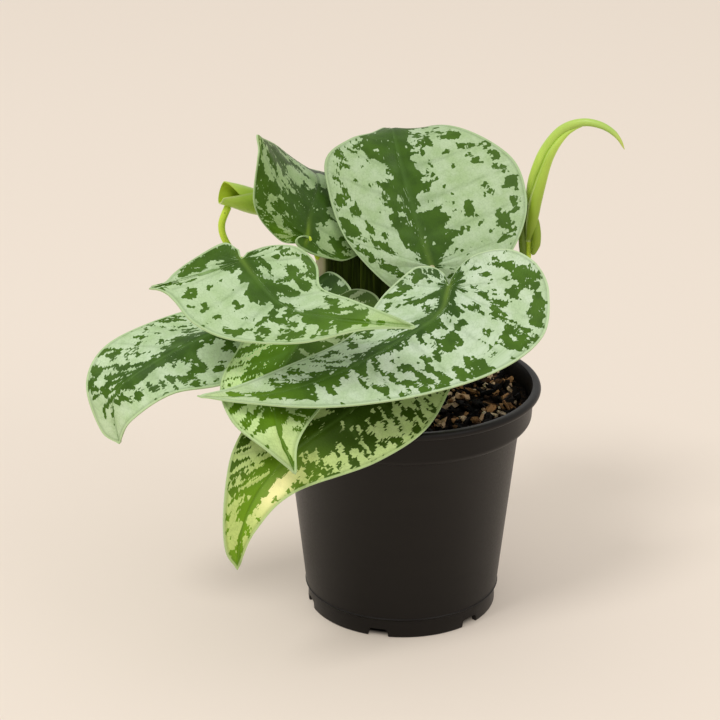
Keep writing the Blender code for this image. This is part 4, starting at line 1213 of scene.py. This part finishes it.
def chip(draw, length, width, height, radius):
    """A splinter of bark with broken faces, lying half in the soil."""
    bm = bmesh.new()
    bmesh.ops.create_cube(bm, size=1.0)
    bmesh.ops.subdivide_edges(bm, edges=bm.edges, cuts=2, use_grid_fill=True)
    shift = Vector([draw.uniform(0, 50) for _ in range(3)])
    for vertex in bm.verts:
        p = vertex.co * 1.0
        round_off = 1 - 0.22 * (p.length / 0.87) ** 3
        wobble = noise.noise_vector(p * 2.3 + shift) * CHIP_WOBBLE
        vertex.co = Vector((p.x * length, p.y * width, p.z * height)) * round_off
        vertex.co += Vector((wobble.x * length * 0.6, wobble.y * width, wobble.z * height))
    grain = np.array([v.co + shift * 0.01 for v in bm.verts])
    turn = Euler([draw.uniform(*limits) for limits in CHIP_TURN]).to_matrix()
    x, y = polar(radius, draw.uniform(0, 2 * math.pi))
    middle = Vector((x, y, soil_height(x, y) + height * draw.uniform(-0.1, 0.9)))
    points = np.array([turn @ v.co + middle for v in bm.verts])
    faces = [tuple(v.index for v in f.verts) for f in bm.faces]
    bm.free()
    return points, faces, {"kind": draw.random(), "grain": grain}


def build_bark():
    noise.seed_set(SEED)
    draw = random.Random(SEED)
    parts = []
    edge = BAND_R - WALL - 0.001
    for _ in range(CHIPS):
        length = draw.uniform(*CHIP_LENGTH)
        radius = (edge - length * 0.5) * math.sqrt(draw.random())
        parts.append(chip(draw, length, draw.uniform(*CHIP_WIDTH), draw.uniform(*CHIP_HEIGHT), radius))
    for _ in range(CRUMBS):
        size = draw.uniform(*CRUMB_SIZE)
        radius = (edge - size) * math.sqrt(draw.random())
        parts.append(chip(draw, size, size * 0.6, size * 0.6, radius))
    obj = joined("bark_chips", parts, bark_material())
    sharpen(obj, 35)
    place_piece(obj, "soil")


# Studio


FLOOR_HALF = 60
# How strongly the paper glows, a painted light that lifts its shadows
PAPER_LIGHT = 0.16
AIR_LIGHT = 0.77
AIM = Vector((0.0, 0.0, 0.10))


def build_floor():
    """Pale, even paper with painted light: it glows a little, warm, to lift the shadows on it as the studio
    round it would. Under the pot it has a painted shadow, near black.
    """
    m = Nodes("studio_paper", Roughness=0.9, Specular_IOR_Level=0.1, Emission_Color=(1.0, 0.85, 0.68, 1.0))
    place = m.place()
    paper = m.mix(m.noise(place, 0.8, 2.0), (0.68, 0.611, 0.542), (0.70, 0.630, 0.560))
    # Painted shadow, near black, under the pot, and the painted light only outside it.
    off_axis = m.vectors("DISTANCE", place, POT_AXIS, "Value")
    open_air = m.steps(off_axis, FOOT_R - 0.005, FOOT_R - 0.001)
    m.out("Base Color", m.mix(open_air, (0.02, 0.018, 0.015), paper))
    m.out("Emission Strength", m.times(open_air, PAPER_LIGHT))
    mesh = bpy.data.meshes.new("studio_floor")
    corners = [(FLOOR_HALF * x, FLOOR_HALF * y, 0) for x, y in ((-1, -1), (1, -1), (1, 1), (-1, 1))]
    mesh.from_pydata(corners, [], [(0, 1, 2, 3)])
    mesh.materials.append(m.material)
    floor = add_object("studio_floor", mesh)


def area_light(name, at, size, watts, colour):
    light = bpy.data.lights.new(name, "AREA")
    light.shape = "DISK"
    light.size = size
    light.energy = watts
    light.color = colour
    obj = add_object(name, light)
    obj.location = at
    obj.rotation_euler = (AIM - Vector(at)).to_track_quat("-Z", "Y").to_euler()


def build_lights():
    world = bpy.data.worlds.new("studio_air")
    world.use_nodes = True
    background = world.node_tree.nodes["Background"]
    background.inputs["Color"].default_value = (1.0, 0.975, 0.945, 1.0)
    background.inputs["Strength"].default_value = AIR_LIGHT
    bpy.context.scene.world = world
    area_light("key", (-1.3, -1.3, 2.9), 1.0, 38.0, (1.0, 0.985, 0.96))
    area_light("fill", (2.0, -1.6, 1.8), 1.2, 7.0, (1.0, 0.98, 0.95))


def build_camera():
    camera = bpy.data.cameras.new("camera")
    camera.lens = LENS_MM
    camera.sensor_width = SENSOR_MM
    camera.clip_start = 0.01
    obj = add_object("camera", camera)
    obj.location = CAMERA_AT
    obj.rotation_euler = (CAMERA_TILT, 0.0, 0.0)
    bpy.context.scene.camera = obj


bpy.context.scene.view_settings.view_transform = "Standard"
build_camera()
build_floor()
build_lights()
build_pot()
build_soil_bed()
build_bark()
build_vines()
build_leaves()
build_young_leaves()
